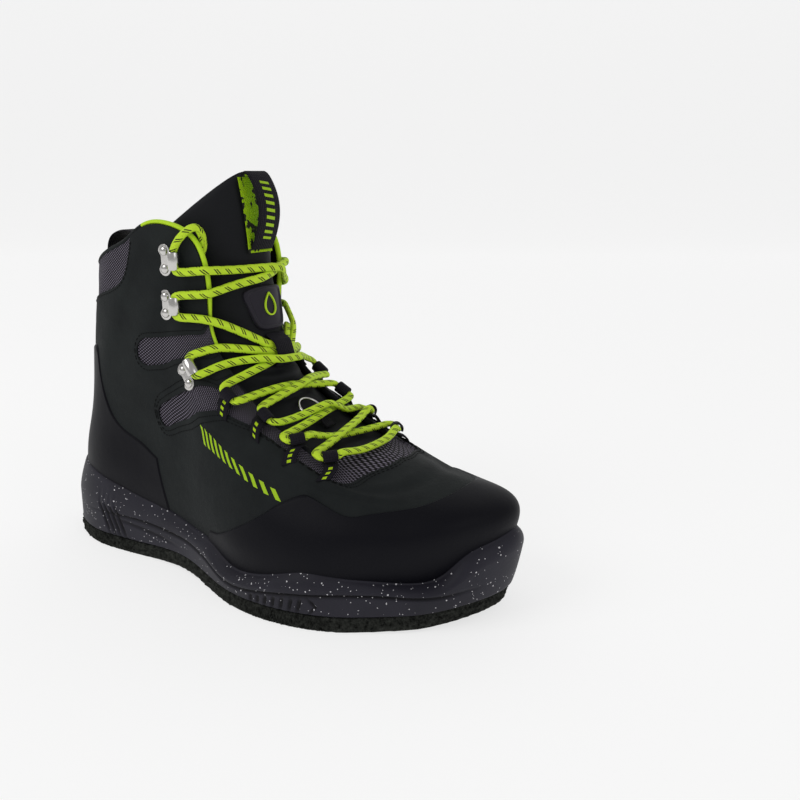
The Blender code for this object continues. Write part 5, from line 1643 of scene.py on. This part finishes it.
def divided(path, held, step):
    """The path with points added so that none lies further than a step from the next."""
    points, kept = [path[0]], [held[0]]
    for before, after, flag in zip(path, path[1:], held[1:]):
        count = max(1, math.ceil(np.linalg.norm(after - before) / step))
        points += [before + (after - before) * (k + 1) / count for k in range(count)]
        kept += [False] * (count - 1) + [flag]
    return np.array(points), np.array(kept)

# %%
def off_pieces(points, trees, need):
    """For each point, the move that takes it as far as needed from the pieces."""
    moves = np.zeros_like(points)
    for tree in trees:
        for row, point in enumerate(points):
            place, normal, _, far = tree.find_nearest(Vector(point), need + 0.004)
            if place is None:
                continue
            away = point - np.array(place)
            inside = away @ np.array(normal) < -0.3 * far
            if not inside and far >= need:
                continue
            way = np.array(normal) if inside or far < 1e-6 else away / far
            moves[row] += way * (need + far if inside else need - far)
    return moves


def off_itself(path, need):
    """For each point of a path, the move that takes its strands as far apart as needed."""
    starts, runs = path[:-1], path[1:] - path[:-1]
    first, second = np.triu_indices(len(starts), 4)
    near = np.linalg.norm(starts[first] - starts[second], axis=1) < need + 0.012
    first, second = first[near], second[near]
    u, v, w = runs[first], runs[second], starts[first] - starts[second]
    a, b, c = (u * u).sum(1), (u * v).sum(1), (v * v).sum(1)
    d, e = (u * w).sum(1), (v * w).sum(1)
    cross = np.maximum(a * c - b * b, 1e-14)
    s = np.clip((b * e - c * d) / cross, 0, 1)
    t = np.clip((b * s + e) / c, 0, 1)
    s = np.clip((b * t - d) / a, 0, 1)
    gap = w + u * s[:, None] - v * t[:, None]
    far = np.linalg.norm(gap, axis=1)
    close = far < need
    push = gap[close] / np.maximum(far[close], 1e-6)[:, None] * (need - far[close])[:, None] / 2
    moves = np.zeros_like(path)
    for rows, sign in ((first[close], 1), (second[close], -1)):
        np.add.at(moves, rows, push * sign * 0.5)
        np.add.at(moves, rows + 1, push * sign * 0.5)
    return moves


def settle(path, held, groups):
    """The path drawn tight between its holds, and kept clear of the pieces and of itself."""
    path, held = divided(path, held, SETTLE_STEP)
    free = ~held[:, None]
    for turn in range(SETTLE_TURNS):
        ease = SETTLE_PULL if turn < 0.6 * SETTLE_TURNS else 0.0
        middle = np.zeros_like(path)
        middle[1:-1] = (path[:-2] + path[2:]) / 2 - path[1:-1]
        path += free * middle * ease
        path += free * off_itself(path, 2 * LACE_RADIUS + CLEAR)
        for trees, need in groups:
            path += free * off_pieces(path, trees, need)
            between = off_pieces((path[1:] + path[:-1]) / 2, trees, need)
            path[1:] += free[1:] * between * 0.5
            path[:-1] += free[:-1] * between * 0.5
    return thinned(path, held)


def thinned(path, held):
    """The path without the points that lie close to the straight line between their neighbours."""
    keep = set(np.flatnonzero(held)) | {0, len(path) - 1}
    spans = sorted(keep)
    todo = list(zip(spans, spans[1:]))
    while todo:
        low, high = todo.pop()
        if high - low < 2:
            continue
        way = path[high] - path[low]
        way /= np.linalg.norm(way)
        off = path[low + 1:high] - path[low]
        off = np.linalg.norm(off - np.outer(off @ way, way), axis=1)
        if off.max() > SETTLE_THIN:
            middle = low + 1 + int(off.argmax())
            keep.add(middle)
            todo += [(low, middle), (middle, high)]
    return path[sorted(keep)]

def tree_of(name):
    """A search tree over one CAD node's faces."""
    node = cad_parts[name]
    corners = [node.matrix_world @ v.co for v in node.data.vertices]
    return BVHTree.FromPolygons(corners, [p.vertices[:] for p in node.data.polygons])


holds = [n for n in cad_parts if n.startswith(("lace_hook", "lace_loop"))]
soft = [
    "upper", "collar_binding", "tongue", "tongue_badge", "tongue_pull_loop", "lace_keeper", "ring",
    "ring_tab",
]
groups = (
    ([tree_of(n) for n in holds], LACE_RADIUS + HOLD_GAP),
    ([tree_of(n) for n in soft], LACE_RADIUS + LACE_GAP),
)
lace_line = settle(*lace_path(), groups)
print(len(lace_line), "places on the lace")

# %%
# Half width, half height and step of the swept lace
LACE_WIDE, LACE_HIGH, LACE_STEP = 0.0025, 0.0018, 0.0011


def rounded_line(points, step):
    """A line through the points with its corners rounded, in even steps."""
    points = np.array(points)
    for _ in range(2):
        before, after = points[:-1], points[1:]
        cut = np.stack([0.75 * before + 0.25 * after, 0.25 * before + 0.75 * after], axis=1)
        points = np.vstack([points[:1], cut.reshape(-1, 3)[1:-1], points[-1:]])
    run = np.concatenate([[0], np.cumsum(np.linalg.norm(np.diff(points, axis=0), axis=1))])
    at = np.linspace(0, run[-1], int(run[-1] / step) + 1)
    return np.column_stack([np.interp(at, run, points[:, k]) for k in range(3)])


def lace_tube(name, line, wide, high, sides=14):
    """A flat lace: an oval section whose broad side lies on the boot."""
    line = rounded_line(line, LACE_STEP)
    run = np.gradient(line, axis=0)
    run /= np.linalg.norm(run, axis=1)[:, None]
    trees = [tree_of("upper"), tree_of("tongue")]
    up = []
    for place in line:
        found = min((tree.find_nearest(Vector(place)) for tree in trees), key=lambda f: f[3])
        away = place - np.array(found[0])
        up.append(away / max(1e-6, np.linalg.norm(away)))
    up = np.pad(np.array(up), ((12, 12), (0, 0)), mode="edge")
    up = np.column_stack([np.convolve(up[:, k], np.ones(25) / 25, mode="valid") for k in range(3)])
    up -= run * np.sum(up * run, axis=1)[:, None]
    up /= np.linalg.norm(up, axis=1)[:, None]
    across = np.cross(run, up)
    turns = np.arange(sides) * 2 * math.pi / sides
    ways = zip(line, across, up)
    wides, highs = wide * np.cos(turns), high * np.sin(turns)
    return bridged(name, [place + np.outer(wides, a) + np.outer(highs, u) for place, a, u in ways])


lace = lace_tube("laced_cord", lace_line, LACE_WIDE, LACE_HIGH)
dress(lace, lace_cloth.material, "lace_cord", "lace")

# %%
# The two ends go over the collar behind the top hooks and stop inside it, out of sight.
END_RADIUS = 0.0023
for name, side, start, after in (
    ("lace_end_lateral", 1, lace_line[0], lace_line[1]),
    ("lace_end_medial", -1, lace_line[-1], lace_line[-2]),
):
    way = (start - after) / np.linalg.norm(start - after)
    rows = [start + way * CORD_GAP] + [skin(side * s, level, out)[0] for s, level, out in LACE_END_PATH]
    line = smooth_values(np.array(rows), np.linspace(0, len(rows) - 1, 60))
    end = lace_tube("cord_" + name, line, END_RADIUS, END_RADIUS)
    dress(end, lace_cloth.material, "lace_cord", name)
    line = rounded_line(line, LACE_STEP)

# %% [markdown]
# ## Stitches, seams and the quarter's print
# One dark row of stitches follows each window. The quarter carries a row of plain slanted dashes.

# %%
# Metres for each station and level, roughly; step, length and radius of a stitch; corners of its section
ROUGHLY = np.array([0.030, 0.047])
STITCH_STEP, STITCH_LONG, STITCH_RADIUS, STITCH_CORNERS = 0.0034, 0.0023, 0.00028, 6


def stitch_line(places, outset):
    """Rings of the stitches along an outline, moved outwards in the flat pattern by so many metres."""
    real = np.array(places) * ROUGHLY
    run = np.roll(real, -1, axis=0) - np.roll(real, 1, axis=0)
    normal = np.column_stack([run[:, 1], -run[:, 0]]) / np.linalg.norm(run, axis=1)[:, None]
    real = real + normal * outset
    loop = np.vstack([real, real[:1]])
    far = np.concatenate([[0], np.cumsum(np.linalg.norm(np.diff(loop, axis=0), axis=1))])
    rings = []
    turns = np.arange(STITCH_CORNERS) * 2 * math.pi / STITCH_CORNERS
    for at in np.arange(0, far[-1], STITCH_STEP):
        ends = np.array([[np.interp(at + d, far, loop[:, k]) for k in range(2)] for d in (0, STITCH_LONG)])
        s, l = (ends / ROUGHLY).T
        if l.max() > 3.93 or min(s) < -0.3 or max(s) > RIBS + 0.3:
            continue
        p, q = skin(s, l, NUBUCK_OUT + 0.00012 + give(s, l))
        up = skin(s[:1], l[:1], 1.0)[0] - skin(s[:1], l[:1])[0]
        way = (q - p) / max(1e-6, np.linalg.norm(q - p))
        across = np.cross(way, up)
        rings.append([
            [c + STITCH_RADIUS * r * (math.cos(t) * across + math.sin(t) * up) for t in turns]
            for c, r in ((p, 0.3), (p + way * 0.0004, 1.0), (q - way * 0.0004, 1.0), (q, 0.3))
        ])
    return rings


# %%
def stitches(name, lines):
    """All stitches as one object: each is a short capsule of four rings with closed ends."""
    rings = [r for line in lines for r in line]
    points, faces = [], []
    for ring in rings:
        start, n = len(points), STITCH_CORNERS
        points += [p for section in ring for p in section]
        for a in (start, start + n, start + 2 * n):
            faces += [(a + j, a + (j + 1) % n, a + n + (j + 1) % n, a + n + j) for j in range(n)]
        faces += [tuple(range(start + n - 1, start - 1, -1)), tuple(range(start + 3 * n, start + 4 * n))]
    mesh = bpy.data.meshes.new(name)
    mesh.from_pydata([tuple(p) for p in points], [], faces)
    made = bpy.data.objects.new(name, mesh)
    bpy.context.scene.collection.objects.link(made)
    in_edit(made, turn_out)
    print(len(rings), "stitches")
    return made


# One row outside every window, and a second outside the low one.
ROW_ONE, ROW_TWO = 0.0020, 0.0042
rows = [stitch_line(places, ROW_ONE) for places in WINDOWS] + [stitch_line(WINDOWS[2], ROW_TWO)]
dress(stitches("window_stitches", rows), thread.material, "nubuck")

# %%
def on_skin(places, rise):
    """Places on the outer panel, from (station, level)."""
    return skin(places[:, 0], places[:, 1], NUBUCK_OUT + rise + give(places[:, 0], places[:, 1]))


marks = []
for t in np.arange(11) / 10:
    s, l = 7.72 + 1.56 * t, 2.285 - 0.235 * t + 0.07 * math.sin(t * math.pi)
    corners = [(s, l - 0.09), (s + 0.075, l - 0.10), (s + 0.115, l + 0.075), (s + 0.04, l + 0.085)]
    marks.append(dash(corners, on_skin, 0.00022))
dress(joined("quarter_marks", marks), print_lime.material, "lime_trim")

# %% [markdown]
# ## Insole
# It is seen only down the collar, so the CAD solid keeps its shape and takes the lining's material.

# %%
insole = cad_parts["insole"]
insole.data.materials.clear()
insole.data.materials.append(lining.material)

# %% [markdown]
# ## Floor, light and camera
# A pale sweep of floor and wall, a bright even sky and two large soft lamps. The camera stands where the
# photographer's stood: a little above the boot and to its outer front.

# %%
# Degrees that the camera is turned from the boot's side and looks down; width of the floor in metres
TURN, LOOK_DOWN, FLOOR_WIDTH = 31.8, 14.2, 14
sweep = new_grid("floor", 2, 60)
flat = points_of(sweep)
far = flat[:, 1] * 9 - 3.0
up = np.where(far > 2.2, 1.2 * (1 - np.cos(np.clip((far - 2.2) / 1.8, 0, 1) * math.pi / 2)), 0)
up = up + np.clip(far - 4.0, 0, 9) * 2.2
reach = np.minimum(far, 2.2 + 1.2 * np.sin(np.clip((far - 2.2) / 1.8, 0, 1) * math.pi / 2))
x = (flat[:, 0] - 0.5) * FLOOR_WIDTH
cos, sin = math.cos(math.radians(TURN)), math.sin(math.radians(TURN))
move_points(sweep, np.column_stack([x * cos - reach * sin, x * sin + reach * cos, up]))
paper = Finish("paper", (150, 150, 150), 0.9)
paper.shader.inputs["Emission Color"].default_value = (1, 1, 1, 1)
paper.shader.inputs["Emission Strength"].default_value = 0.71
paper.shader.inputs["Specular IOR Level"].default_value = 0.1
sweep.data.materials.append(paper.material)
only(sweep)
bpy.ops.object.shade_smooth()

# %%
world = bpy.data.worlds.new("studio")
world.use_nodes = True
world.node_tree.nodes["Background"].inputs[0].default_value = (1, 1, 1, 1)
world.node_tree.nodes["Background"].inputs[1].default_value = 0.42
bpy.context.scene.world = world


def lamp(name, place, aim, size, power):
    light = bpy.data.lights.new(name, "AREA")
    light.size = size
    light.energy = power
    made = bpy.data.objects.new(name, light)
    made.location = place
    made.rotation_euler = (Vector(aim) - Vector(place)).to_track_quat("-Z", "Y").to_euler()
    bpy.context.scene.collection.objects.link(made)


lamp("key", (-0.5, -1.2, 1.3), (0.1, 0, 0.1), 1.0, 9)
lamp("side", (1.5, -0.3, 0.9), (0.12, 0, 0.1), 0.8, 2.5)

# %%
camera = bpy.data.cameras.new("camera")
camera.lens = 40.5
camera.sensor_width = 36
camera.clip_start = 0.01
eye = bpy.data.objects.new("camera", camera)
eye.location = (0.471, -0.420, 0.242)
eye.rotation_euler = (math.radians(90 - LOOK_DOWN), 0, math.radians(TURN))
bpy.context.scene.collection.objects.link(eye)
bpy.context.scene.camera = eye
bpy.context.scene.view_settings.view_transform = "Standard"
